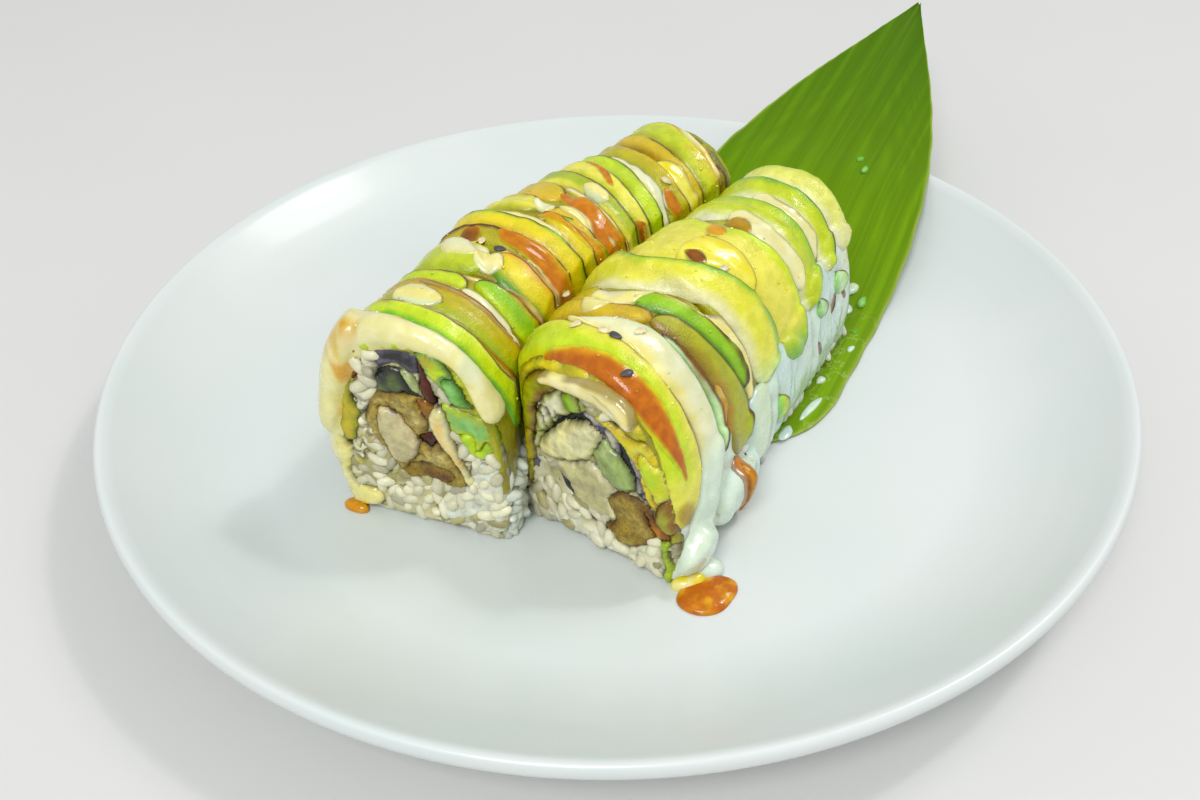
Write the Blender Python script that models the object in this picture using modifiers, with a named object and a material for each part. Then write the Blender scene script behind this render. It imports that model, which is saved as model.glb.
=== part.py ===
# Inside-out sushi rolls on a round plate: two rows of cut pieces pressed side by side,
# each piece rice round a nori tube with its filling and a cover of avocado slices over
# the top, with a bamboo leaf under their far ends.  Metres, +Z up.  The origin is the
# middle of the plate's foot, and +Y points to the far side, where the leaf hangs over.

import bpy
import bmesh
from math import cos, sin, pi, radians, hypot
from mathutils import Vector

MM = 0.001
GAP = 0.4 * MM            # clear space kept between touching pieces

# plate
PLATE_RADIUS = 130 * MM
RIM_HEIGHT = 25.1 * MM    # top of the lip above the table
WELL_FLOOR = 8.3 * MM     # top of the flat middle above the table
WELL_RADIUS = 92 * MM     # where the middle starts to curve up
FOOT_RADIUS = 72 * MM
WALL = 5.0 * MM
PLATE_STEPS = 56

# leaf
LEAF_TIP = (116.5 * MM, 186.8 * MM)
LEAF_FACING = 27.0        # degrees from +Y towards +X
LEAF_LENGTH = 232 * MM
LEAF_ENDS = (0.006, 0.98) # the shares of that length where its two ends are blunted
LEAF_HALF_WIDTH = 36.5 * MM
LEAF_THICK = 0.7 * MM
LEAF_RISE = 0.125         # slope past the lip
LEAF_KNEE = 98 * MM       # distance from the tip where it leaves the lip
LEAF_RAMP = 70 * MM       # length over which it comes down from the lip to the well

# rows: values run from the front cut to the far one, evenly spaced along the row
ROWS = {
    "left": {
        "start": (-44.8, -48.3),
        "heading": (20, 36, 44),
        "facing": (21.5, 33, 45),
        "wide": (47, 51.5, 52, 49, 48),
        "high": (56, 53.5, 53, 49.5, 49),
        "lean": (-0.02, 0.0, 0.0),
        "cuts": (0, 16, 29.5, 43.5, 59, 73.5, 88, 103, 120),
        "swell": (0.0, -0.4, 0.2, 0.5, -0.3, 0.3, -0.4, 0.2),
        "lift": (0, 0, 0, 1.5, 1.5, 1.5, 1.5, 1.5),
        "side": 1,
    },
    "right": {
        "start": (-5.3, -56.7),
        "heading": (24.5, 33.5, 33.5, 34.5),
        "facing": (38.4, 34, 33, 34),
        "wide": (51, 54, 49.5, 45, 39.5),
        "high": (51, 53, 51.5, 48, 46.5),
        "lean": (-0.06, -0.02, 0.0, 0.0),
        "cuts": (0, 19.5, 33.5, 48, 62, 75.5, 89, 102),
        "swell": (0.3, -0.4, 0.5, -0.2, 0.3, -0.3, 0.1),
        "lift": (0, 0, 1.5, 1.5, 1.5, 1.5, 1.5),
        "side": -1,
    },
}
SECTION_POWER = 2.6       # 2 is an ellipse, more is squarer
FOOT_TUCK = 0.12          # how far the sides draw in at the bottom
FOOT_SHARE = 0.35         # share of the height over which they draw in
CROWDING = 0.8            # how much closer together arch steps are near the feet
ARCH_STEPS = 16
FEET = (2, 14)            # arch steps where the avocado cover begins and ends

COVER_TOP = 7.0           # thickness of the cover over the top and at the sides, mm
COVER_SIDE = 5.5
COVER_CLEAR = 1.0         # how far a cover stays off its rice, mm
SHINGLES = 2              # avocado slices that show across one piece
SHINGLE_STEP = 1.2        # how far a slice stands over the next one, mm

# the line in plan where the two rows press together, mm
PARTING = ((-22.4, -75), (-22.6, -56), (-20.8, -40), (-12.6, -21.6), (-3, -7), (8, 8), (25, 28), (48, 55))
PARTING_INSET = 3.0       # how far the inside of a cover stays back from that line, mm

# nori tube of each end piece: middle (across, up), half width, half height, tilt, mm and degrees
NORI_TUBES = {
    "left_1": (-3.5, 28.0, 12.0, 15.5, 0),
    "left_8": (0.0, 24.0, 13.5, 13.5, 0),
    "right_1": (0.5, 21.5, 15.0, 13.0, 14),
    "right_7": (0.0, 22.5, 12.5, 13.0, 0),
}
NORI_THICK = 0.8
TUBE_STEPS = ARCH_STEPS + 5   # one for each arch point and four along the rice's flat base

# fillings of each end piece: name, middle (across, up) in mm; each takes its share of the tube
FILLINGS = {
    "left_1": (("cucumber", -4.0, 42.0), ("tempura", -5.5, 26.0), ("avocado_stick", 6.5, 30.0)),
    "left_8": (("cucumber", -5.0, 31.0), ("tempura", 0.5, 19.0), ("cream_cheese", 7.5, 29.0)),
    "right_1": (("cream_cheese", -5.5, 27.5), ("cucumber", 9.0, 29.5), ("tempura", 3.5, 15.5)),
    "right_7": (("cucumber", -5.0, 29.0), ("tempura", 0.5, 17.5), ("cream_cheese", 6.5, 28.0)),
}
SHRIMP_SHARE = 0.55       # the shrimp's size within its batter
SHRIMP_GAP = 0.06         # what is left clear between the two, in the same share

# ribbons of mayonnaise thick enough to be pieces, each lying over a row's first piece: the arch
# steps it runs between, and, evenly spaced from its left end to its right end, where its near
# and far edges are along the row and how far it stands out of the arch, mm
RIBBONS = {
    "mayonnaise_left": {
        "row": "left",
        "steps": (1.5, 14.0),
        "near": (1.0, 1.0),
        "far": (12.0, 9.0, 6.0, 5.5, 12.0),
        "proud": (1.5, 6.0, 3.0, 0.5, 0.0),
    },
    "mayonnaise_right": {
        "row": "right",
        "steps": (4.0, 15.7),
        "near": (9.5, 10.5, 10.0, 11.0, 12.0, 10.0, 5.0),
        "far": (12.5, 17.0, 18.5, 18.8, 18.8, 17.0, 12.5),
        "proud": (0.0, 0.0, 0.0, 0.0, 0.0, 2.0, 3.0),
    },
}
RIBBON_THICK = 3.0        # how far a ribbon sinks into the cover under it, mm
RIBBON_LIFT = 0.65        # clear height between the two, mm
RIBBON_STEPS = 14

PUDDLE = (19.3, -74.6)    # sauce that ran from the foot of the right row's ribbon, mm
PUDDLE_SIZE = (6.4, 4.9, 2.0)

# name: colour, roughness
FINISHES = {
    "plate": ((0.82, 0.85, 0.86), 0.3),
    "leaf": ((0.13, 0.33, 0.04), 0.5),
    "rice": ((0.78, 0.76, 0.66), 0.5),
    "avocado": ((0.62, 0.66, 0.12), 0.4),
    "avocado_stick": ((0.62, 0.66, 0.12), 0.4),
    "nori": ((0.03, 0.035, 0.03), 0.5),
    "cucumber": ((0.35, 0.5, 0.22), 0.35),
    "cream_cheese": ((0.86, 0.82, 0.68), 0.45),
    "tempura": ((0.62, 0.42, 0.14), 0.6),
    "shrimp": ((0.84, 0.74, 0.6), 0.4),
    "mayonnaise": ((0.9, 0.84, 0.62), 0.3),
    "sauce": ((0.6, 0.2, 0.03), 0.2),
}


def clear_scene():
    for thing in list(bpy.data.objects):
        bpy.data.objects.remove(thing, do_unlink=True)


def collection(name):
    group = bpy.data.collections.new(name)
    bpy.context.scene.collection.children.link(group)
    return group


def material(finish):
    found = bpy.data.materials.get(finish)
    if found:
        return found
    colour, roughness = FINISHES[finish]
    made = bpy.data.materials.new(finish)
    made.use_nodes = True
    shader = made.node_tree.nodes["Principled BSDF"]
    shader.inputs["Base Color"].default_value = (*colour, 1)
    shader.inputs["Roughness"].default_value = roughness
    return made


def add_mesh(name, bm, finish, group):
    # wraps a bmesh in an object, faces out, and shades its round sides smooth
    bmesh.ops.recalc_face_normals(bm, faces=bm.faces)
    mesh = bpy.data.meshes.new(name)
    bm.to_mesh(mesh)
    bm.free()
    mesh.shade_smooth()
    mesh.set_sharp_from_angle(angle=radians(40))
    made = bpy.data.objects.new(name, mesh)
    made.data.materials.append(material(finish))
    group.objects.link(made)
    return made


def along(values, share):
    # value at a share from 0 to 1 of an evenly spaced run of values
    place = min(max(share, 0.0), 1.0) * (len(values) - 1)
    low = min(int(place), len(values) - 2)
    return values[low] + (values[low + 1] - values[low]) * (place - low)


def row_length(row):
    return row["cuts"][-1]


def row_centre(row, distance):
    # walks along the row's heading from its front cut, in steps of about a millimetre
    steps = max(1, round(distance))
    x, y = row["start"]
    for step in range(steps):
        turn = radians(along(row["heading"], (step + 0.5) / steps * distance / row_length(row)))
        x += distance / steps * sin(turn)
        y += distance / steps * cos(turn)
    return x, y


def parting_x(y):
    for (x0, y0), (x1, y1) in zip(PARTING, PARTING[1:]):
        if y <= y1:
            return x0 + (x1 - x0) * (y - y0) / (y1 - y0)
    return PARTING[-1][0]


def reach(row, distance):
    # how far across a cut the row may go before it meets the other row
    turn = radians(along(row["facing"], distance / row_length(row)))
    x, y = row_centre(row, distance)
    across = 10.0
    while across < 60.0:
        edge_x = x + row["side"] * across * cos(turn)
        edge_y = y - row["side"] * across * sin(turn)
        if (edge_x - parting_x(edge_y)) * row["side"] > 0:
            break
        across += 0.1
    return across


def arch_angle(step):
    # from the left foot over the top to the right foot, closer together near the feet
    share = step / ARCH_STEPS
    return pi * (share - CROWDING * sin(2 * pi * share) / (2 * pi))


class Section:
    # the outline of a row at one distance along it
    def __init__(self, row, distance, swell=0.0, lift=0.0):
        share = distance / row_length(row)
        self.x, self.y = row_centre(row, distance)
        self.turn = radians(along(row["facing"], share))
        self.half = along(row["wide"], share) / 2 + swell
        self.high = along(row["high"], share) + swell
        self.lean = along(row["lean"], share)
        self.lift = lift
        self.side = row["side"]
        self.limit = reach(row, distance)

    def place(self, across, up):
        return Vector((
            (self.x + across * cos(self.turn)) * MM,
            (self.y - across * sin(self.turn)) * MM,
            WELL_FLOOR + GAP + (self.lift + up) * MM,
        ))

    def arch(self, step, depth=0.0):
        # a point of the arch; depth 0 is the outside of the cover and 1 its inside
        angle = arch_angle(step)
        half = self.half - COVER_SIDE * depth
        high = self.high - COVER_TOP * depth
        across = half * abs(cos(angle)) ** (2 / SECTION_POWER) * (1 if cos(angle) > 0 else -1)
        across = -across
        up = high * abs(sin(angle)) ** (2 / SECTION_POWER)
        low = max(0.0, FOOT_SHARE - up / high) / FOOT_SHARE
        across *= 1 - FOOT_TUCK * low * low
        across += self.lean * up
        pressed = self.limit - GAP / MM - PARTING_INSET * max(depth, 0.0)
        if across * self.side > pressed:
            across = pressed * self.side
        return across, up

    def point(self, step, depth=0.0):
        return self.place(*self.arch(step, depth))


def bridge(bm, loops, closed):
    # quads between neighbouring loops of vertices
    for first, second in zip(loops, loops[1:]):
        count = len(first)
        for i in range(count if closed else count - 1):
            j = (i + 1) % count
            bm.faces.new((first[i], first[j], second[j], second[i]))


def solid_loft(rings):
    # a closed body through rings of points, with flat ends
    bm = bmesh.new()
    loops = [[bm.verts.new(p) for p in ring] for ring in rings]
    bridge(bm, loops, True)
    bm.faces.new(loops[0])
    bm.faces.new(loops[-1])
    return bm


def hollow_loft(outer_rings, inner_rings, closed):
    # a tube, or with closed False an arch-shaped shell, between outer and inner rings
    bm = bmesh.new()
    outer = [[bm.verts.new(p) for p in ring] for ring in outer_rings]
    inner = [[bm.verts.new(p) for p in ring] for ring in inner_rings]
    bridge(bm, outer, closed)
    bridge(bm, inner, closed)
    for end in (0, -1):
        bridge(bm, [outer[end], inner[end]], closed)
    if not closed:
        for edge in (0, -1):
            bridge(bm, [[ring[edge] for ring in outer], [ring[edge] for ring in inner]], False)
    return bm


def plate_profile():
    # from the middle of the floor out over the lip and back underneath to the middle of the foot
    top = [(0.0, WELL_FLOOR)]
    lip = PLATE_RADIUS - 2.2 * MM
    for i in range(7):
        share = i / 6
        radius = WELL_RADIUS + (lip - WELL_RADIUS) * share
        top.append((radius, WELL_FLOOR + (RIM_HEIGHT - 0.5 * MM - WELL_FLOOR) * share ** 1.8))
    edge = [
        (PLATE_RADIUS - 1.3 * MM, RIM_HEIGHT),
        (PLATE_RADIUS - 0.2 * MM, RIM_HEIGHT - 0.9 * MM),
        (PLATE_RADIUS, RIM_HEIGHT - 2.4 * MM),
        (PLATE_RADIUS - 1.2 * MM, RIM_HEIGHT - 4.0 * MM),
    ]
    under = [
        (PLATE_RADIUS - 12 * MM, RIM_HEIGHT - 4.0 * MM - WALL * 1.3),
        (WELL_RADIUS, WELL_FLOOR - WALL + 1.4 * MM),
        (FOOT_RADIUS + 3 * MM, WELL_FLOOR - WALL),
        (FOOT_RADIUS, 0.6 * MM),
        (FOOT_RADIUS - 0.8 * MM, 0.0),
        (0.0, 0.0),
    ]
    return top + edge + under


def make_plate(group):
    mesh = bpy.data.meshes.new("plate")
    profile = plate_profile()
    mesh.from_pydata([(x, 0.0, z) for x, z in profile],
                     [(i, i + 1) for i in range(len(profile) - 1)], [])
    plate = bpy.data.objects.new("plate", mesh)
    plate.data.materials.append(material("plate"))
    group.objects.link(plate)
    screw = plate.modifiers.new("turn", "SCREW")
    screw.axis = "Z"
    screw.steps = PLATE_STEPS
    screw.render_steps = PLATE_STEPS
    screw.use_merge_vertices = True
    screw.merge_threshold = 0.00005
    screw.use_normal_calculate = True
    screw.use_smooth_shade = True
    return plate


def plate_top(radius):
    # height of the plate's upper side
    if radius <= WELL_RADIUS:
        return WELL_FLOOR
    share = min(1.0, (radius - WELL_RADIUS) / (PLATE_RADIUS - 2.2 * MM - WELL_RADIUS))
    return WELL_FLOOR + (RIM_HEIGHT - WELL_FLOOR) * share ** 1.8


def leaf_half_width(share):
    # share runs from the tip, 0, to the hidden end, 1
    tip = min(1.0, share / 0.62)
    heel = min(1.0, (1 - share) / 0.14)
    return LEAF_HALF_WIDTH * sin(tip * pi / 2) ** 1.12 * (1 - (1 - heel) ** 2.2) ** 0.5


def leaf_height(distance, radius):
    # distance is measured from the tip; the leaf lies in the well, bends up over the lip
    # and goes on rising in the open
    over_lip = RIM_HEIGHT + LEAF_RISE * (LEAF_KNEE - distance)
    down = min(1.0, max(0.0, distance - LEAF_KNEE) / LEAF_RAMP)
    lying = WELL_FLOOR + (RIM_HEIGHT - WELL_FLOOR) * (1 + cos(pi * down)) / 2
    height = over_lip if distance < LEAF_KNEE else lying
    return max(height, plate_top(radius) if radius < PLATE_RADIUS else 0.0) + GAP


def make_leaf(group):
    turn = radians(LEAF_FACING)
    lengthwise = 22
    across = 8
    bm = bmesh.new()
    grid = []
    for i in range(lengthwise + 1):
        share = LEAF_ENDS[0] + (LEAF_ENDS[1] - LEAF_ENDS[0]) * i / lengthwise
        distance = LEAF_LENGTH * share
        half = leaf_half_width(share)
        line = []
        for j in range(across + 1):
            off = half * (2 * j / across - 1)
            x = LEAF_TIP[0] - distance * sin(turn) + off * cos(turn)
            y = LEAF_TIP[1] - distance * cos(turn) - off * sin(turn)
            line.append(bm.verts.new((x, y, leaf_height(distance, hypot(x, y)))))
        grid.append(line)
    bridge(bm, grid, False)
    bmesh.ops.recalc_face_normals(bm, faces=bm.faces)
    if sum(face.normal.z for face in bm.faces) < 0:
        bmesh.ops.reverse_faces(bm, faces=bm.faces)
    mesh = bpy.data.meshes.new("leaf")
    bm.to_mesh(mesh)
    bm.free()
    leaf = bpy.data.objects.new("leaf", mesh)
    leaf.data.materials.append(material("leaf"))
    group.objects.link(leaf)
    sheet = leaf.modifiers.new("thickness", "SOLIDIFY")
    sheet.thickness = LEAF_THICK
    sheet.offset = 1.0
    sheet.use_even_offset = True
    return leaf


def piece_span(row, index):
    # where a piece begins and ends, clear of the cuts on either side, its swell and its lift
    near = row["cuts"][index] + GAP / MM / 2
    far = row["cuts"][index + 1] - GAP / MM / 2
    swell = row["swell"][index]
    lift = row["lift"][index]
    return near, far, swell, lift


def tube_ring(tube, inset):
    across, up, half_wide, half_high, tilt = tube
    ring = []
    for i in range(TUBE_STEPS):
        a = 2 * pi * i / TUBE_STEPS
        u = (half_wide - inset) * cos(a)
        v = (half_high - inset) * sin(a)
        slant = radians(-tilt)
        ring.append((across + u * cos(slant) - v * sin(slant), up + u * sin(slant) + v * cos(slant)))
    return ring


def clip(outline, middle, other, gap):
    # keeps the part of a convex outline that is nearer to middle than to other
    nx, ny = other[0] - middle[0], other[1] - middle[1]
    size = hypot(nx, ny)
    nx, ny = nx / size, ny / size
    edge = (middle[0] + other[0]) / 2 * nx + (middle[1] + other[1]) / 2 * ny - gap / 2
    kept = []
    for (x0, y0), (x1, y1) in zip(outline, outline[1:] + outline[:1]):
        d0 = x0 * nx + y0 * ny - edge
        d1 = x1 * nx + y1 * ny - edge
        if d0 <= 0:
            kept.append((x0, y0))
        if (d0 < 0) != (d1 < 0):
            t = d0 / (d0 - d1)
            kept.append((x0 + (x1 - x0) * t, y0 + (y1 - y0) * t))
    return kept


def scaled(outline, share):
    x = sum(p[0] for p in outline) / len(outline)
    y = sum(p[1] for p in outline) / len(outline)
    return [(x + (px - x) * share, y + (py - y) * share) for px, py in outline]


def rice_ring(section):
    # the rice's outline just inside the cover, from the left foot over the top to the right foot
    return [section.point(step, 1.0) for step in range(ARCH_STEPS + 1)]


def make_rice(name, row, index, group):
    near, far, swell, lift = piece_span(row, index)
    stations = (near, (near + far) / 2, far)
    sections = [Section(row, d, swell, lift) for d in stations]
    tube = NORI_TUBES.get(name)
    if not tube:
        return add_mesh("rice_" + name, solid_loft([rice_ring(s) for s in sections]), "rice", group)
    rings = []
    holes = []
    for section in sections:
        rings.append(around(section, tube))
        holes.append([section.place(u, v) for u, v in tube_ring(tube, 0.0)])
    return add_mesh("rice_" + name, hollow_loft(rings, holes, True), "rice", group)


def around(section, tube):
    # the rice's outline again, sampled at the same directions from the tube's middle as the tube
    outline = [section.arch(step, 1.0) for step in range(ARCH_STEPS + 1)]
    base = [(outline[-1][0] * (1 - 2 * i / 5), 0.0) for i in range(1, 5)]
    return [section.place(u, v) for u, v in reorder(outline + base, tube)]


def reorder(outline, tube):
    # starts the outline at its rightmost point level with the tube's middle, going round anticlockwise
    outline = outline[::-1]
    level = [abs(v - tube[1]) + (1000 if u < tube[0] else 0) for u, v in outline]
    first = level.index(min(level))
    return outline[first:] + outline[:first]


def make_nori(name, row, index, group):
    near, far, swell, lift = piece_span(row, index)
    tube = NORI_TUBES[name]
    gap = GAP / MM
    sections = [Section(row, distance, swell, lift) for distance in (near, far)]
    outer = [[s.place(u, v) for u, v in tube_ring(tube, gap)] for s in sections]
    inner = [[s.place(u, v) for u, v in tube_ring(tube, gap + NORI_THICK)] for s in sections]
    return add_mesh("nori_" + name, hollow_loft(outer, inner, True), "nori", group)


def make_fillings(name, row, index, group):
    near, far, swell, lift = piece_span(row, index)
    tube = NORI_TUBES[name]
    sections = [Section(row, d, swell, lift) for d in (near, far)]
    inside = tube_ring(tube, 2 * GAP / MM + NORI_THICK)
    fillings = FILLINGS[name]
    for kind, across, up in fillings:
        outline = inside
        for other, other_across, other_up in fillings:
            if other != kind:
                outline = clip(outline, (across, up), (other_across, other_up), GAP / MM)
        rings = [[s.place(u, v) for u, v in outline] for s in sections]
        if kind != "tempura":
            add_mesh(kind + "_" + name, solid_loft(rings), kind, group)
            continue
        bore = scaled(outline, SHRIMP_SHARE)
        core = scaled(outline, SHRIMP_SHARE - SHRIMP_GAP)
        bores = [[s.place(u, v) for u, v in bore] for s in sections]
        cores = [[s.place(u, v) for u, v in core] for s in sections]
        add_mesh("tempura_" + name, hollow_loft(rings, bores, True), "tempura", group)
        add_mesh("shrimp_" + name, solid_loft(cores), "shrimp", group)


def shingle(share):
    # how far the cover stands out at a share of the piece's length: each avocado slice is
    # highest at its near edge and slopes down under the next one
    place = share * SHINGLES
    return SHINGLE_STEP * (1 - (place - int(min(place, SHINGLES - 0.001))))


def make_cover(name, row, index, group):
    near, far, swell, lift = piece_span(row, index)
    stations = []
    for tooth in range(SHINGLES):
        stations += [(tooth + 0.02) / SHINGLES, (tooth + 0.98) / SHINGLES]
    stations[0] = 0.0
    stations[-1] = 1.0
    steps = range(FEET[0], FEET[1] + 1)
    pressed = RIBBON_THICK + RIBBON_LIFT if has_ribbon(name) else 0.0
    under = 1.0 - COVER_CLEAR / COVER_SIDE
    outer = []
    inner = []
    for share in stations:
        section = Section(row, near + (far - near) * share, swell, lift)
        depth = (SHINGLE_STEP - shingle(share) + pressed) / COVER_TOP
        outer.append([section.point(step, depth) for step in steps])
        inner.append([section.point(step, under) for step in steps])
    return add_mesh("avocado_" + name, hollow_loft(outer, inner, False), "avocado", group)


def has_ribbon(name):
    return name in ("left_1", "right_1")


def make_ribbon(name, group):
    ribbon = RIBBONS[name]
    row = ROWS[ribbon["row"]]
    first, last = ribbon["steps"]
    outer = []
    inner = []
    for side, rounding in ((0.0, 0.6), (0.25, 1.0), (0.75, 1.0), (1.0, 0.6)):
        ring_out = []
        ring_in = []
        for i in range(RIBBON_STEPS + 1):
            share = i / RIBBON_STEPS
            near = along(ribbon["near"], share)
            far = along(ribbon["far"], share)
            section = Section(row, near + (far - near) * side, row["swell"][0], row["lift"][0])
            step = first + (last - first) * share
            height = (RIBBON_THICK + along(ribbon["proud"], share)) * rounding
            ring_in.append(section.point(step, RIBBON_THICK / COVER_TOP))
            ring_out.append(section.point(step, (RIBBON_THICK - height) / COVER_TOP))
        outer.append(ring_out)
        inner.append(ring_in)
    return add_mesh(name, hollow_loft(outer, inner, False), "mayonnaise", group)


def make_puddle(group):
    long, wide, high = PUDDLE_SIZE
    rings = []
    for share, size in ((0.0, 0.86), (0.35, 1.0), (0.75, 0.8), (1.0, 0.4)):
        ring = []
        for i in range(18):
            a = 2 * pi * i / 18
            wave = 1 + 0.12 * sin(2 * a + 0.6) + 0.06 * sin(3 * a)
            ring.append(Vector((
                (PUDDLE[0] + long * size * wave * cos(a)) * MM,
                (PUDDLE[1] + wide * size * wave * sin(a)) * MM,
                WELL_FLOOR + GAP + high * share * MM,
            )))
        rings.append(ring)
    return add_mesh("sauce_puddle", solid_loft(rings), "sauce", group)


def main():
    clear_scene()
    group = collection("uramaki_plate")
    make_plate(group)
    make_leaf(group)
    for row_name, row in ROWS.items():
        for index in range(len(row["cuts"]) - 1):
            name = "%s_%d" % (row_name, index + 1)
            make_rice(name, row, index, group)
            make_cover(name, row, index, group)
            if name in NORI_TUBES:
                make_nori(name, row, index, group)
                make_fillings(name, row, index, group)
    for ribbon in RIBBONS:
        make_ribbon(ribbon, group)
    make_puddle(group)


main()
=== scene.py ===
from itertools import product
from math import cos, hypot, pi, radians, sin

import bpy
import numpy as np
from mathutils import Matrix


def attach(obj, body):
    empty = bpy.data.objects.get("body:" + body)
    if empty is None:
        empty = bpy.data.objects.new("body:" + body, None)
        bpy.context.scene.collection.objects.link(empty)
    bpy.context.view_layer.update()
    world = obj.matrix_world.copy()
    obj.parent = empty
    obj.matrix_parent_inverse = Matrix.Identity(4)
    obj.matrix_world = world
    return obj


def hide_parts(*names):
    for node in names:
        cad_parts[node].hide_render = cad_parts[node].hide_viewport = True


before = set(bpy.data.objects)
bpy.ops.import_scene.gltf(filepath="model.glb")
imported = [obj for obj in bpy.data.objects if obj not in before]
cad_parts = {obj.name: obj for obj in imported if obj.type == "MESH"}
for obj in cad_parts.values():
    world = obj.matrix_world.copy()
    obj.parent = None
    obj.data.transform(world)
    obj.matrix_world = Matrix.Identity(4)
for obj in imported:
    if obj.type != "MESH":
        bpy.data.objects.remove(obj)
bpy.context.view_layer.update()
rng = np.random.default_rng(11)
mm = 0.001
print("frame loaded")

# colours as they are seen, 0 to 255
palette = {
    "lime": (199, 219, 47), "leafLime": (110, 185, 20), "paleLime": (226, 226, 120),
    "brightLime": (190, 210, 14), "limeGreen": (190, 215, 60), "yellowGreen": (196, 208, 52),
    "green": (150, 195, 20), "greenRim": (110, 178, 30), "greenDark": (96, 148, 14),
    "leafGreen": (150, 195, 34), "greenPale": (142, 198, 112), "greenMint": (196, 226, 170),
    "oliveGreen": (170, 186, 34), "olive": (172, 172, 30), "oliveYellow": (188, 176, 20),
    "oliveDark": (146, 136, 10), "yellow": (226, 208, 40), "goldYellow": (224, 198, 30),
    "gold": (212, 184, 28), "goldDark": (190, 158, 18), "paleYellow": (230, 222, 104),
    "speckled": (226, 222, 92), "peachGold": (224, 186, 80), "peach": (228, 200, 136),
    "cream": (234, 226, 160), "creamPale": (228, 224, 174), "creamWhite": (226, 226, 190),
    "creamCool": (212, 226, 196), "creamBeige": (236, 226, 178), "pinkWhite": (216, 212, 204),
    "mayoCool": (212, 226, 212), "mayoBlue": (206, 224, 217), "orange": (222, 164, 30),
    "brownOrange": (190, 124, 18), "brown": (142, 88, 20), "sauce": (206, 126, 8),
    "sauceDeep": (192, 106, 8), "sauceRed": (186, 88, 10), "amber": (220, 156, 14),
    "amberDeep": (190, 146, 8), "sauceAmber": (214, 150, 18), "stain": (196, 146, 20),
    "rice": (226, 223, 194), "riceShade": (176, 169, 124), "riceYellow": (190, 182, 104),
    "riceBlue": (218, 223, 210), "riceBase": (206, 200, 160), "riceWhite": (224, 224, 204),
    "riceGrey": (190, 186, 160), "riceYellowPale": (194, 189, 136), "mashPale": (190, 196, 126),
    "batterPale": (200, 184, 112), "shrimpPale": (200, 191, 146), "nori": (34, 32, 38), "noriPurple": (112, 104, 124),
    "noriGreen": (40, 50, 30), "batter": (186, 166, 86), "batterGold": (158, 132, 48),
    "batterBrown": (128, 92, 28), "shrimp": (190, 181, 134), "shrimpPink": (212, 196, 152),
    "cheese": (216, 214, 168), "cheeseShade": (190, 188, 134), "cucumber": (150, 172, 100),
    "cucumberPale": (176, 190, 128), "cucumberDark": (98, 116, 54), "mash": (168, 172, 92),
    # edge is the brown of the painted shade line along the strips' far edges
    "teal": (92, 150, 96), "maroon": (84, 44, 20), "edge": (88, 56, 16),
}


def paint(name):
    # a little deeper and more vivid, for the grey that gloss lays over every colour
    seen = np.array(palette[name]) / 255
    light = np.where(seen < 0.04045, seen / 12.92, ((seen + 0.055) / 1.055) ** 2.4)
    grey = light.dot((0.21, 0.72, 0.07))
    return np.clip(grey + (light - grey) * 1.05 - 0.022, 0.002, 1)


def smoothStep(value, low, high):
    share = np.clip((value - low) / (high - low), 0, 1)
    return share * share * (3 - 2 * share)


def lumps(points, size, seed=0):
    # smooth lattice noise, from 0 to 1, with bumps about size across
    place = np.asarray(points, float) / size + seed * 17.31
    cell = np.floor(place)
    share = place - cell
    share = share * share * (3 - 2 * share)
    total = 0
    for corner in product((0, 1), repeat=place.shape[-1]):
        weight = 1
        spot = 0
        for axis, bit in enumerate(corner):
            weight = weight * (share[..., axis] if bit else 1 - share[..., axis])
            spot = spot + (cell[..., axis] + bit) * (12.9898, 78.233, 37.719)[axis]
        value = np.sin(spot) * 43758.5453
        total = total + weight * (value - np.floor(value))
    return total


def cloud(points, size, seed=0):
    # two sizes of lumps together, centred on nothing
    return lumps(points, size, seed) * 0.68 + lumps(points, size * 0.43, seed + 3) * 0.32 - 0.5


class Build:
    # gathers vertices, faces and colours of one piece, in millimetres
    def __init__(self):
        self.points = []
        self.faces = []
        self.tones = []
        self.count = 0

    def add(self, points, faces, tones):
        points = np.asarray(points, float).reshape(-1, 3)
        tones = np.broadcast_to(np.asarray(tones, float).reshape(-1, 3), points.shape)
        self.points.append(points)
        self.tones.append(tones)
        self.faces.extend([[i + self.count for i in face] for face in faces])
        self.count += len(points)

    def make(self, name, material, replaced=(), slot=None, smooth=True, extra=None):
        mesh = bpy.data.meshes.new(name)
        points = np.concatenate(self.points) * mm
        mesh.from_pydata(points.tolist(), [], self.faces)
        tones = np.concatenate(self.tones)
        layer = mesh.color_attributes.new("tone", "FLOAT_COLOR", "POINT")
        layer.data.foreach_set("color", np.c_[tones, np.ones(len(tones))].ravel())
        if extra is not None:
            lay = mesh.attributes.new("lay", "FLOAT_VECTOR", "POINT")
            lay.data.foreach_set("vector", np.asarray(extra, float).ravel())
        mesh.validate()
        if smooth:
            mesh.shade_smooth()
        mesh.materials.append(material)
        made = bpy.data.objects.new(name, mesh)
        bpy.context.scene.collection.objects.link(made)
        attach(made, "root")
        if replaced:
            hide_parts(*replaced)
        return made


def ringFaces(rings, size, closed=False, flip=False):
    # quads between rings of size points; closed joins the last ring to the first
    faces = []
    for i in range(rings if closed else rings - 1):
        a = i * size
        b = (i + 1) % rings * size
        for j in range(size):
            k = (j + 1) % size
            face = [a + j, a + k, b + k, b + j]
            faces.append(face[::-1] if flip else face)
    return faces


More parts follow.
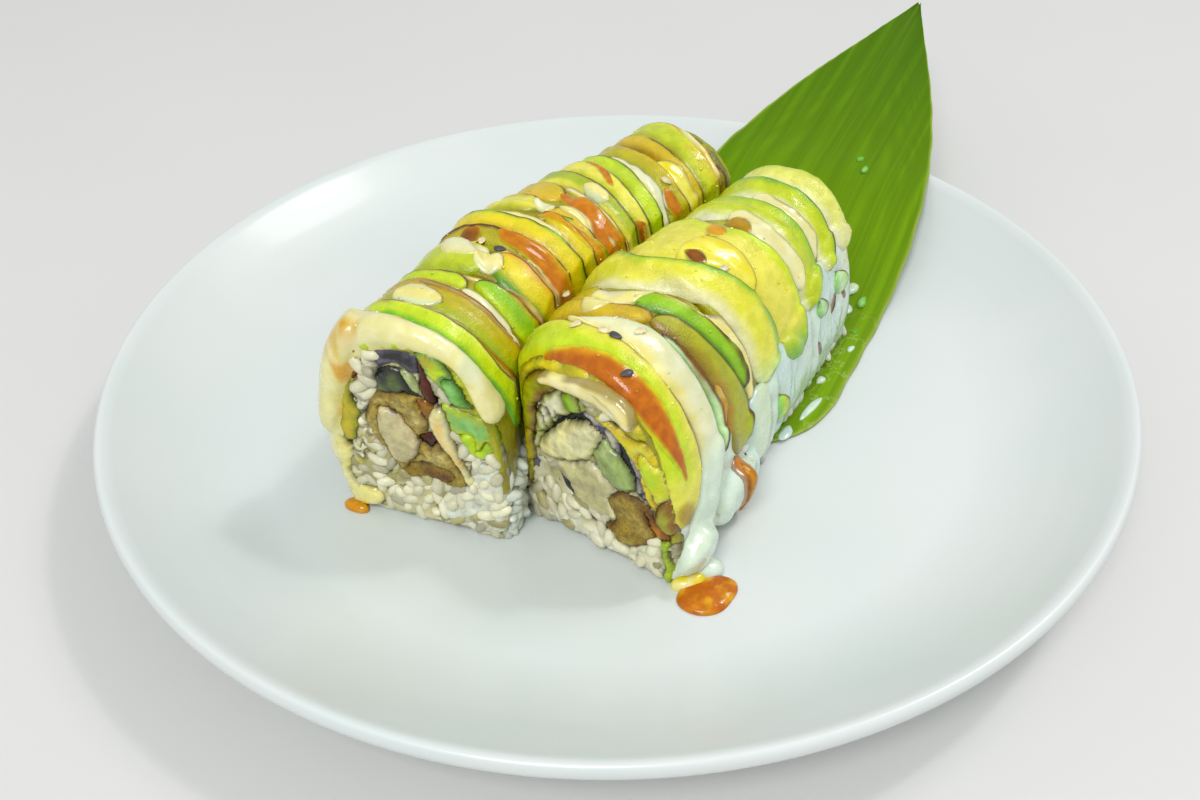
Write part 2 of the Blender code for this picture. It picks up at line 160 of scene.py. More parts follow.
# the two rows; each list of values is evenly spaced from the front cut to the far one, mm and degrees
rowValues = {
    "left": {
        "start": (-44.8, -48.3), "heading": (20, 36, 44), "facing": (21.5, 33, 45),
        "wide": (47, 51.5, 52, 49, 48), "high": (56, 53.5, 53, 49.5, 49), "lean": (-0.02, 0, 0),
        "cuts": (0, 16, 29.5, 43.5, 59, 73.5, 88, 103, 120),
        "swell": (0, -0.4, 0.2, 0.5, -0.3, 0.3, -0.4, 0.2),
        "lift": (0, 0, 0, 1.5, 1.5, 1.5, 1.5, 1.5), "side": 1,
    },
    "right": {
        "start": (-5.3, -56.7), "heading": (24.5, 33.5, 33.5, 34.5), "facing": (38.4, 34, 33, 34),
        "wide": (51, 54, 49.5, 45, 39.5), "high": (51, 53, 51.5, 48, 46.5), "lean": (-0.06, -0.02, 0, 0),
        "cuts": (0, 19.5, 33.5, 48, 62, 75.5, 89, 102),
        "swell": (0.3, -0.4, 0.5, -0.2, 0.3, -0.3, 0.1),
        "lift": (0, 0, 1.5, 1.5, 1.5, 1.5, 1.5), "side": -1,
    },
}
sectionValues = {
    "power": 2.6, "tuck": 0.12, "tuckShare": 0.35, "crowding": 0.8,
    "floor": 8.7, "coverSide": 5.5, "coverTop": 7.0, "round": 3.0, "overrun": 8.0, "step": 0.25,
    "parting": ((-22.4, -75), (-22.6, -56), (-20.8, -40), (-12.6, -21.6), (-3, -7), (8, 8), (25, 28),
                (48, 55)),
}


def along(values, share):
    return np.interp(np.clip(share, 0, 1) * (len(values) - 1), range(len(values)), values)


def blurred(values, width, axis=0):
    # running mean, ends held
    if width < 1:
        return values
    pad = [(0, 0)] * values.ndim
    pad[axis] = (width, width)
    held = np.pad(values, pad, mode="edge")
    kernel = np.hanning(2 * width + 3)[1:-1]
    kernel /= kernel.sum()
    return np.apply_along_axis(lambda line: np.convolve(line, kernel, "valid"), axis, held)


class Row:
    def __init__(self, name):
        values = rowValues[name]
        self.name = name
        self.values = values
        self.cuts = values["cuts"]
        self.length = self.cuts[-1]
        step = sectionValues["step"]
        over = sectionValues["overrun"]
        self.grid = np.arange(-over, self.length + over, step)
        share = self.grid / self.length
        head = np.radians(along(values["heading"], share))
        x = np.cumsum(np.sin(head)) * step
        y = np.cumsum(np.cos(head)) * step
        zero = np.searchsorted(self.grid, 0)
        self.x = x - x[zero] + values["start"][0]
        self.y = y - y[zero] + values["start"][1]
        self.turn = np.radians(along(values["facing"], share))
        self.reach = np.array([self.reachAt(i) for i in range(len(self.grid))])
        piece = np.clip(np.searchsorted(self.cuts[1:], self.grid, side="right"), 0, len(self.cuts) - 2)
        self.swells = blurred(np.array(values["swell"])[piece], 5)
        self.lifts = blurred(np.array(values["lift"], float)[piece], 5)
        self.uGrid = np.linspace(0, 1, 251)
        self.bareRice = {}
        self.top = np.full((len(self.grid), len(self.uGrid)), -1.0)   # height of what lies on the arch
        self.shade = np.tile(paint("olive"), (len(self.grid), len(self.uGrid), 1))   # and its colour

    def reachAt(self, i):
        # how far across the row may go before it meets the other row
        side = self.values["side"]
        line = np.array(sectionValues["parting"])
        across = np.arange(10, 60, 0.1)
        edgeX = self.x[i] + side * across * cos(self.turn[i])
        edgeY = self.y[i] - side * across * sin(self.turn[i])
        hit = (edgeX - np.interp(edgeY, line[:, 1], line[:, 0])) * side > 0
        return across[hit.argmax()] if hit.any() else 60.0

    def at(self, values, distance):
        return np.interp(distance, self.grid, values)

    def arch(self, distance, share, height):
        # across and up of a point height over the arch, at a share of its length from the left foot
        where = distance / self.length
        low = sectionValues["tuckShare"]
        power = 2 / sectionValues["power"]
        side = self.values["side"]
        swell = self.at(self.swells, distance)
        angle = archAngle(share)
        half = along(self.values["wide"], where) / 2 + swell + sectionValues["coverSide"] / 7 * height
        high = along(self.values["high"], where) + swell + height
        across = -half * np.abs(np.cos(angle)) ** power * np.sign(np.cos(angle))
        up = high * np.abs(np.sin(angle)) ** power
        tuck = np.maximum(0, low - up / high) / low
        across = across * (1 - sectionValues["tuck"] * tuck * tuck) + along(self.values["lean"], where) * up
        limit = self.at(self.reach, distance) - 0.4 - 3 * np.maximum(-height / 7, 0)
        return np.where(across * side > limit, limit * side, across), up

    def place(self, distance, across, up, lift=None):
        turn = self.at(self.turn, distance)
        if lift is None:
            lift = self.at(self.lifts, distance)
        x = self.at(self.x, distance) + across * np.cos(turn)
        y = self.at(self.y, distance) - across * np.sin(turn)
        return np.stack(np.broadcast_arrays(x, y, sectionValues["floor"] + lift + up), -1)

    def forward(self, distance):
        turn = self.at(self.turn, distance)
        return np.stack([np.sin(turn), np.cos(turn), np.zeros_like(turn)], -1)

    def skin(self, path, share, height):
        # a point over the arch; a path short of the front cut, or past the far one, goes over the edge
        path, share, height = np.broadcast_arrays(*[np.asarray(v, float) for v in (path, share, height)])
        bend = sectionValues["round"]
        result = 0
        before = np.maximum(0, bend - path)
        after = np.maximum(0, path - (self.length - bend))
        over = np.maximum(before, after)
        sign = np.where(before > 0, -1.0, 1.0)
        turn = np.minimum(over / bend, pi / 2)
        inset = bend * (1 - np.cos(turn)) + np.maximum(0, over - bend * pi / 2)
        edge = np.where(before > 0, bend, self.length - bend)
        distance = np.where(over > 0, edge + sign * bend * np.sin(turn), path)
        across, up = self.arch(distance, share, height * np.cos(turn) - inset)
        result = self.place(distance, across, up)
        return result + (sign * height * np.sin(turn))[..., None] * self.forward(distance)

    def topAt(self, path, share, field=None):
        # height of what already lies there
        field = self.top if field is None else field
        i = np.clip((path - self.grid[0]) / sectionValues["step"], 0, len(self.grid) - 1.001)
        j = np.clip(share * (len(self.uGrid) - 1), 0, len(self.uGrid) - 1.001)
        i0 = i.astype(int)
        j0 = j.astype(int)
        fi = i - i0
        fj = j - j0
        near = field[i0, j0] * (1 - fj) + field[i0, j0 + 1] * fj
        far = field[i0 + 1, j0] * (1 - fj) + field[i0 + 1, j0 + 1] * fj
        return near * (1 - fi) + far * fi

    def shadeAt(self, path, share):
        # colour of what already lies there
        i = np.clip((path - self.grid[0]) / sectionValues["step"], 0, len(self.grid) - 1).astype(int)
        j = np.clip(share * (len(self.uGrid) - 1), 0, len(self.uGrid) - 1).astype(int)
        return self.shade[i, j]


def archMap():
    # arc length against arch step, so that a share of the arch is a share of its real length
    t = np.linspace(0, 1, 2001)
    angle = pi * (t - sectionValues["crowding"] * np.sin(2 * pi * t) / (2 * pi))
    power = 2 / sectionValues["power"]
    low = sectionValues["tuckShare"]
    up = 53.5 * np.abs(np.sin(angle)) ** power
    tuck = np.maximum(0, low - up / 53.5) / low
    across = -27 * np.abs(np.cos(angle)) ** power * np.sign(np.cos(angle))
    across = across * (1 - sectionValues["tuck"] * tuck * tuck)
    length = np.concatenate([[0], np.cumsum(np.hypot(np.diff(across), np.diff(up)))])
    return t, length / length[-1], length[-1]


archSteps, archShares, archLength = archMap()


def archAngle(share):
    t = np.interp(share, archShares, archSteps)
    return pi * (t - sectionValues["crowding"] * np.sin(2 * pi * t) / (2 * pi))


rows = {name: Row(name) for name in rowValues}
print("rows measured")


class Socket:
    # a shader value that can be used in sums
    def __init__(self, tree, socket):
        self.tree = tree
        self.socket = socket

    def blend(self, operation, other, flipped=False):
        values = [other, self] if flipped else [self, other]
        return addNode(self.tree, "ShaderNodeMath", {"operation": operation}, dict(enumerate(values)))[0]

    def __add__(self, other):
        return self.blend("ADD", other)

    def __radd__(self, other):
        return self.blend("ADD", other, True)

    def __sub__(self, other):
        return self.blend("SUBTRACT", other)

    def __rsub__(self, other):
        return self.blend("SUBTRACT", other, True)

    def __mul__(self, other):
        return self.blend("MULTIPLY", other)

    def __rmul__(self, other):
        return self.blend("MULTIPLY", other, True)

    def __truediv__(self, other):
        return self.blend("DIVIDE", other)

    def __rtruediv__(self, other):
        return self.blend("DIVIDE", other, True)

    def __pow__(self, other):
        return self.blend("POWER", other)

    def clamp(self, low=0.0, high=1.0, soft=True):
        # 0 below low and 1 above high
        kind = "SMOOTHSTEP" if soft else "LINEAR"
        made = addNode(self.tree, "ShaderNodeMapRange", {"interpolation_type": kind},
                       {"Value": self, "From Min": low, "From Max": high})
        return made[0]


def addNode(tree, kind, settings=None, values=None):
    # adds a node, its settings first, then its sockets' values or links; returns its outputs
    node = tree.nodes.new(kind)
    for key, value in (settings or {}).items():
        if key == "stops":
            ramp = node.color_ramp
            for _ in range(len(value) - 2):
                ramp.elements.new(0.5)
            for element, (place, colour) in zip(ramp.elements, value):
                element.position = place
                element.color = (*colour, 1)
        else:
            setattr(node, key, value)
    for key, value in (values or {}).items():
        if isinstance(value, Socket):
            tree.links.new(value.socket, node.inputs[key])
        elif hasattr(value, "__len__") and len(value) == 3 and len(node.inputs[key].default_value) == 4:
            node.inputs[key].default_value = (*value, 1)
        else:
            node.inputs[key].default_value = value
    return Outputs(tree, node)


class Outputs:
    # a node's outputs by name or number
    def __init__(self, tree, node):
        self.tree = tree
        self.node = node

    def __getitem__(self, key):
        return Socket(self.tree, self.node.outputs[key])


def mixColour(tree, share, first, second, kind="MIX"):
    made = addNode(tree, "ShaderNodeMix", {"data_type": "RGBA", "blend_type": kind},
                   {0: share, 6: first, 7: second})
    return made[2]


class Finish:
    # one material, with what most of them share
    def __init__(self, name, **fixed):
        self.material = bpy.data.materials.new(name)
        self.material.use_nodes = True
        self.tree = self.material.node_tree
        self.shader = self.tree.nodes["Principled BSDF"]
        self.place = addNode(self.tree, "ShaderNodeNewGeometry")["Position"]
        for key, value in fixed.items():
            socket = self.shader.inputs[key.replace("_", " ")]
            socket.default_value = value

    def node(self, kind, settings=None, values=None):
        return addNode(self.tree, kind, settings, values)

    def noise(self, size, detail=3, rough=0.55, where=None, **more):
        # noise with bumps about size millimetres across
        return self.node("ShaderNodeTexNoise", more, {
            "Vector": self.place if where is None else where,
            "Scale": 1 / (size * mm) if where is None else 1 / size, "Detail": detail, "Roughness": rough})[0]

    def cells(self, size, feature="F1", where=None):
        return self.node("ShaderNodeTexVoronoi", {"feature": feature}, {
            "Vector": self.place if where is None else where,
            "Scale": 1 / (size * mm) if where is None else 1 / size})

    def tone(self):
        return self.node("ShaderNodeVertexColor", {"layer_name": "tone"})["Color"]

    def shift(self, colour, by, hue=0.5, saturation=1.0):
        return self.node("ShaderNodeHueSaturation", {}, {
            "Hue": hue, "Saturation": saturation, "Value": by, "Color": colour})["Color"]

    def set(self, **links):
        for key, value in links.items():
            socket = self.shader.inputs[key.replace("_", " ")]
            if isinstance(value, Socket):
                self.tree.links.new(value.socket, socket)
            else:
                socket.default_value = value

    def relief(self, *layers):
        # each layer is a height and how deep it is in millimetres
        normal = None
        for height, depth in layers:
            values = {"Height": height, "Strength": 1.0, "Distance": depth * mm}
            if normal:
                values["Normal"] = normal
            normal = self.node("ShaderNodeBump", {}, values)["Normal"]
        self.set(Normal=normal)


def makePlateFinish():
    glaze = Finish("glazedPlate", Coat_Weight=0.25, Coat_Roughness=0.12, IOR=1.5)
    soft = glaze.noise(60, 2)
    fine = glaze.noise(1.4, 4)
    dust = glaze.noise(0.35, 2)
    base = mixColour(glaze.tree, soft.clamp(0.35, 0.7), (0.60, 0.655, 0.645), (0.635, 0.67, 0.665))
    specks = (1 - dust.clamp(0.16, 0.26)) * 0.14
    glaze.set(Base_Color=mixColour(glaze.tree, specks, base, (0.5, 0.5, 0.47)))
    glaze.set(Roughness=0.3 + fine * 0.12)
    glaze.relief((soft, 0.25), (fine, 0.012))
    return glaze.material


def makeLeafFinish():
    # the lay attribute runs along the leaf, x from its midline and y from its tip, in millimetres
    leaf = Finish("bambooLeaf", Specular_IOR_Level=0.05)
    lay = leaf.node("ShaderNodeAttribute", {"attribute_name": "lay"})["Vector"]
    stretched = leaf.node("ShaderNodeVectorMath", {"operation": "MULTIPLY"}, {0: lay, 1: (1, 0.012, 1)})[0]
    wide = leaf.noise(2.6, 2, where=stretched)
    fine = leaf.noise(0.7, 3, where=stretched)
    patch = leaf.noise(14, 3, where=leaf.node(
        "ShaderNodeVectorMath", {"operation": "MULTIPLY"}, {0: lay, 1: (1, 0.3, 1)})[0])
    veins = (wide * 0.55 + fine * 0.45).clamp(0.32, 0.68)
    tone = leaf.tone()
    colour = mixColour(leaf.tree, veins, leaf.shift(tone, 0.55, 0.503), leaf.shift(tone, 0.7, 0.498))
    colour = mixColour(leaf.tree, patch.clamp(0.5, 0.8) * 0.4, colour, leaf.shift(tone, 0.92, 0.494))
    # painted glints: thin pale curves of wet traces near its heel
    trace = leaf.noise(7, 3) - 0.5
    heel = leaf.node("ShaderNodeSeparateXYZ", {}, {"Vector": lay})
    wetGlint = (1 - (trace * trace).clamp(0.0, 0.0006)) * heel["Y"].clamp(150, 175) * heel["X"].clamp(8, 16)
    colour = mixColour(leaf.tree, wetGlint * 0.22, colour, (0.5, 0.62, 0.22))
    leaf.set(Base_Color=colour, Roughness=0.42 + fine * 0.2)
    leaf.relief((wide, 0.3), (fine, 0.12))
    return leaf.material


def makeAvocadoFinish():
    flesh = Finish("avocadoFlesh", Subsurface_Weight=0.1, Subsurface_Scale=0.002, Coat_Weight=0.2,
                   Coat_Roughness=0.06, Subsurface_Radius=(1.0, 0.8, 0.2), Specular_IOR_Level=0.5)
    tone = flesh.tone()
    blotch = flesh.noise(3.2, 3)
    fine = flesh.noise(0.5, 3)
    dots = flesh.cells(0.55)["Distance"]
    colour = mixColour(flesh.tree, blotch.clamp(0.38, 0.66), flesh.shift(tone, 0.88, 0.505, 1.05), tone)
    # painted glints: pale specks on the raised fine bumps
    paleGlint = (1 - dots.clamp(0.1, 0.34)) * fine.clamp(0.5, 0.75) * 0.45
    colour = mixColour(flesh.tree, paleGlint, colour, flesh.shift(tone, 1.25, 0.495, 0.7))
    flesh.set(Base_Color=colour, Roughness=0.12 + blotch * 0.22)
    flesh.relief((blotch, 0.4), (fine, 0.2))
    return flesh.material


def makeCreamFinish():
    cream = Finish("creamSauce", Subsurface_Weight=0.15, Subsurface_Scale=0.002, Coat_Weight=0.5,
                   Coat_Roughness=0.08, Subsurface_Radius=(1.0, 0.9, 0.6))
    tone = cream.tone()
    slow = cream.noise(4.5, 3)
    fine = cream.noise(1.1, 2)
    colour = mixColour(cream.tree, slow.clamp(0.4, 0.68), cream.shift(tone, 0.93, 0.497, 1.25), tone)
    cream.set(Base_Color=colour, Roughness=0.2 + fine * 0.12)
    cream.relief((slow, 0.3), (fine, 0.06))
    return cream.material


def makeSauceFinish():
    sauce = Finish("orangeSauce", Coat_Weight=0.45, Coat_Roughness=0.04, Specular_IOR_Level=0.15)
    tone = sauce.tone()
    slow = sauce.noise(2.2, 3)
    streak = sauce.noise(0.9, 2)
    colour = mixColour(sauce.tree, slow.clamp(0.36, 0.68), sauce.shift(tone, 0.78, 0.503), sauce.shift(tone, 0.98, 0.508))
    sauce.set(Base_Color=colour, Roughness=0.12 + streak * 0.1)
    sauce.relief((slow, 0.25), (streak, 0.05))
    return sauce.material


def makeRiceFinish():
    rice = Finish("cookedRice", Subsurface_Weight=0.25, Subsurface_Scale=0.002, Coat_Weight=0.2,
                  Coat_Roughness=0.2, Subsurface_Radius=(1.0, 0.95, 0.8))
    tone = rice.tone()
    fine = rice.noise(0.6, 3)
    slow = rice.noise(3.0, 3)
    colour = mixColour(rice.tree, slow.clamp(0.35, 0.7), rice.shift(tone, 0.9, 0.5, 1.1), rice.shift(tone, 1.08))
    rice.set(Base_Color=colour, Roughness=0.34 + fine * 0.2)
    rice.relief((fine, 0.12))
    return rice.material


def makeRoughFinish(name, size, depth, coat, dark, gloss):
    # fried batter, seaweed and cut vegetables: a rough ground; painted shade darkens its hollows and its crests are
    # painted lighter
    ground = Finish(name, Coat_Weight=coat, Coat_Roughness=0.15)
    tone = ground.tone()
    big = ground.noise(size, 4, 0.65)
    small = ground.noise(size * 0.28, 3)
    colour = mixColour(ground.tree, big.clamp(0.38, 0.62), ground.shift(tone, dark, 0.49), ground.shift(tone, 1.1))
    colour = mixColour(ground.tree, small.clamp(0.58, 0.74) * 0.4, colour, ground.shift(tone, 1.35, 0.5, 0.8))
    ground.set(Base_Color=colour, Roughness=gloss + small * 0.3)
    ground.relief((big, depth), (small, depth * 0.4))
    return ground.material


finishes = {
    "plate": makePlateFinish(), "leaf": makeLeafFinish(), "avocado": makeAvocadoFinish(),
    "cream": makeCreamFinish(), "sauce": makeSauceFinish(), "rice": makeRiceFinish(),
    "batter": makeRoughFinish("friedBatter", 2.0, 0.9, 0.1, 0.66, 0.4),
    "nori": makeRoughFinish("dampNori", 1.6, 0.4, 0.35, 0.5, 0.3),
    "cucumber": makeRoughFinish("cutCucumber", 3.0, 0.35, 0.5, 0.75, 0.22),
    "shrimp": makeRoughFinish("cookedShrimp", 2.8, 0.4, 0.35, 0.85, 0.3),
    "cheese": makeRoughFinish("creamCheese", 3.4, 0.5, 0.3, 0.86, 0.35),
    "seed": makeRoughFinish("sesameSeed", 1.0, 0.1, 0.3, 0.75, 0.35),
}
print("finishes mixed")

plateValues = {
    "radius": 130.0, "rim": 25.1, "well": 92.0, "floor": 8.3, "foot": 72.0, "turns": 224,
    "lipInset": 2.2, "rise": 1.8, "wave": 0.12,
}


def plateTop(radius):
    # height of the plate's upper side
    values = plateValues
    share = np.clip((radius - values["well"]) / (values["radius"] - values["lipInset"] - values["well"]), 0, 1)
    return values["floor"] + (values["rim"] - values["floor"]) * share ** values["rise"]


def makePlate():
    values = plateValues
    radius = values["radius"]
    rim = values["rim"]
    top = [(r, float(plateTop(r))) for r in np.r_[2.0, np.linspace(12, values["well"], 9),
                                                  np.linspace(values["well"] + 2, radius - 2.6, 20)]]
    lip = [(radius - 1.35 + 1.35 * cos(a), rim - 2.2 + 2.15 * sin(a)) for a in np.radians(np.arange(100, -71, -17))]
    under = [(radius - 12, rim - 10.5), (104, 8.6), (values["well"], 4.7), (80, 3.6), (values["foot"] + 3, 3.3),
             (values["foot"] + 0.6, 2.2), (values["foot"], 0.6), (values["foot"] - 0.8, 0.0),
             (values["foot"] - 3, 0.0), (values["foot"] - 3.8, 0.5), (values["foot"] - 5, 0.9), (30, 0.9), (2.0, 0.9)]
    profile = np.array(top + lip + under)
    turns = values["turns"]
    angle = np.arange(turns) / turns * 2 * pi
    build = Build()
    rings = []
    for r, z in profile:
        wave = values["wave"] * sin(r) * (r > 100)
        rings.append(np.stack([r * np.cos(angle), r * np.sin(angle),
                               z + wave * 0.3 * np.sin(3 * angle) * (z > 12)], -1))
    faces = ringFaces(len(rings), turns, flip=True)
    points = np.concatenate(rings)
    middle = len(points)
    points = np.r_[points, [[0, 0, profile[0, 1]], [0, 0, profile[-1, 1]]]]
    last = (len(rings) - 1) * turns
    faces += [[middle, j, (j + 1) % turns] for j in range(turns)]
    faces += [[middle + 1, last + (j + 1) % turns, last + j] for j in range(turns)]
    build.add(points, faces, (1, 1, 1))
    return build.make("plateGlazed", finishes["plate"], ["plate"], "plate")


leafValues = {
    "tip": (116.5, 186.8), "facing": 27.0, "length": 232.0, "halfWidth": 36.5, "thick": 0.5,
    "rise": 0.125, "knee": 98.0, "ramp": 70.0, "clear": 0.45, "lengthwise": 150, "across": 36,
    "trough": 1.2, "ripple": 0.5,
    "tones": ((0.0, (86, 128, 18)), (0.18, (92, 136, 16)), (0.42, (106, 150, 18)),
              (0.62, (122, 166, 24)), (0.8, (136, 178, 32)), (1.0, (128, 170, 30))),
}


def leafHeight(distance, radius):
    values = leafValues
    rim = plateValues["rim"]
    low = plateValues["floor"]
    down = np.clip((distance - values["knee"]) / values["ramp"], 0, 1)
    lying = low + (rim - low) * (1 + np.cos(pi * down)) / 2
    height = np.where(distance < values["knee"], rim + values["rise"] * (values["knee"] - distance), lying)
    return np.maximum(height, np.where(radius < plateValues["radius"], plateTop(radius), 0)) + values["clear"]


def leafPoint(share, off, lift=0.0):
    # share runs from the tip, off is across from the midline in millimetres
    values = leafValues
    distance = values["length"] * share
    turn = radians(values["facing"])
    x = values["tip"][0] - distance * sin(turn) + off * cos(turn)
    y = values["tip"][1] - distance * cos(turn) - off * sin(turn)
    return np.stack([x, y, leafHeight(distance, np.hypot(x, y)) + lift], -1)


def leafHalf(share):
    tip = np.minimum(1, share / 0.62)
    heel = np.minimum(1, (1 - share) / 0.14)
    return leafValues["halfWidth"] * np.sin(tip * pi / 2) ** 1.12 * (1 - (1 - heel) ** 2.2) ** 0.5


def makeLeaf():
    values = leafValues
    n = values["lengthwise"]
    m = values["across"]
    share = np.linspace(0.008, 0.985, n)[:, None]
    edge = np.sin(np.linspace(-pi / 2, pi / 2, m))[None, :]
    half = leafHalf(share)
    off = half * edge * (1 + 0.004 * np.sin(share * 90) * (np.abs(edge) > 0.98))
    free = np.clip((values["knee"] - share * values["length"]) / 40, 0, 1)
    along2 = share * values["length"] + off * 0
    field = np.stack([off * 0.25, along2 * 0.05], -1)
    bend = values["ripple"] * (cloud(field, 1.0, 2)) * free
    bend = bend + free * values["trough"] * (np.abs(edge) ** 2 - 0.3)
    ribs = 0.05 * np.sin(off * 3.1) + 0.18 * np.exp(-(off / 0.7) ** 2)
    top = leafPoint(share, off, values["thick"] + np.maximum(bend, -0.25) + ribs)
    low = leafPoint(share, off, np.maximum(bend, -0.25))
    stops = np.array([stop for stop, _ in values["tones"]])
    shades = np.array([tone for _, tone in values["tones"]]) / 255
    seen = np.stack([np.interp(share[:, 0], stops, shades[:, i]) for i in range(3)], -1)[:, None, :]
    seen = np.repeat(seen, m, 1)
    stripe = np.abs(np.sin(off * 0.42 + 0.6)) ** 14
    seen = seen * (1 + 0.10 * stripe[..., None])
    margin = np.clip((np.abs(edge) - 0.972) / 0.02, 0, 1)[..., None]
    seen = seen * (1 - margin) + np.array([176, 200, 92]) / 255 * margin
    midrib = np.exp(-(off / 0.55) ** 2)[..., None] * 0.35
    seen = seen * (1 - midrib) + np.array([150, 186, 70]) / 255 * midrib
    tones = seen ** 2.2
    loops = np.concatenate([top, low[:, ::-1]], 1)
    shades = np.concatenate([tones, tones[:, ::-1]], 1)
    lay = np.stack([off, along2, off * 0], -1)
    lay = np.concatenate([lay, lay[:, ::-1]], 1)
    build = Build()
    faces = ringFaces(n, 2 * m)
    for i, flip in ((0, True), (n - 1, False)):
        for j in range(m - 1):
            a = i * 2 * m
            face = [a + j, a + j + 1, a + 2 * m - 2 - j, a + 2 * m - 1 - j]
            faces.append(face if flip else face[::-1])
    build.add(loops, faces, shades.reshape(-1, 3))
    return build.make("leafFresh", finishes["leaf"], ["leaf"], "leaf", extra=lay.reshape(-1, 3))


makePlate()
makeLeaf()
print("plate and leaf made")

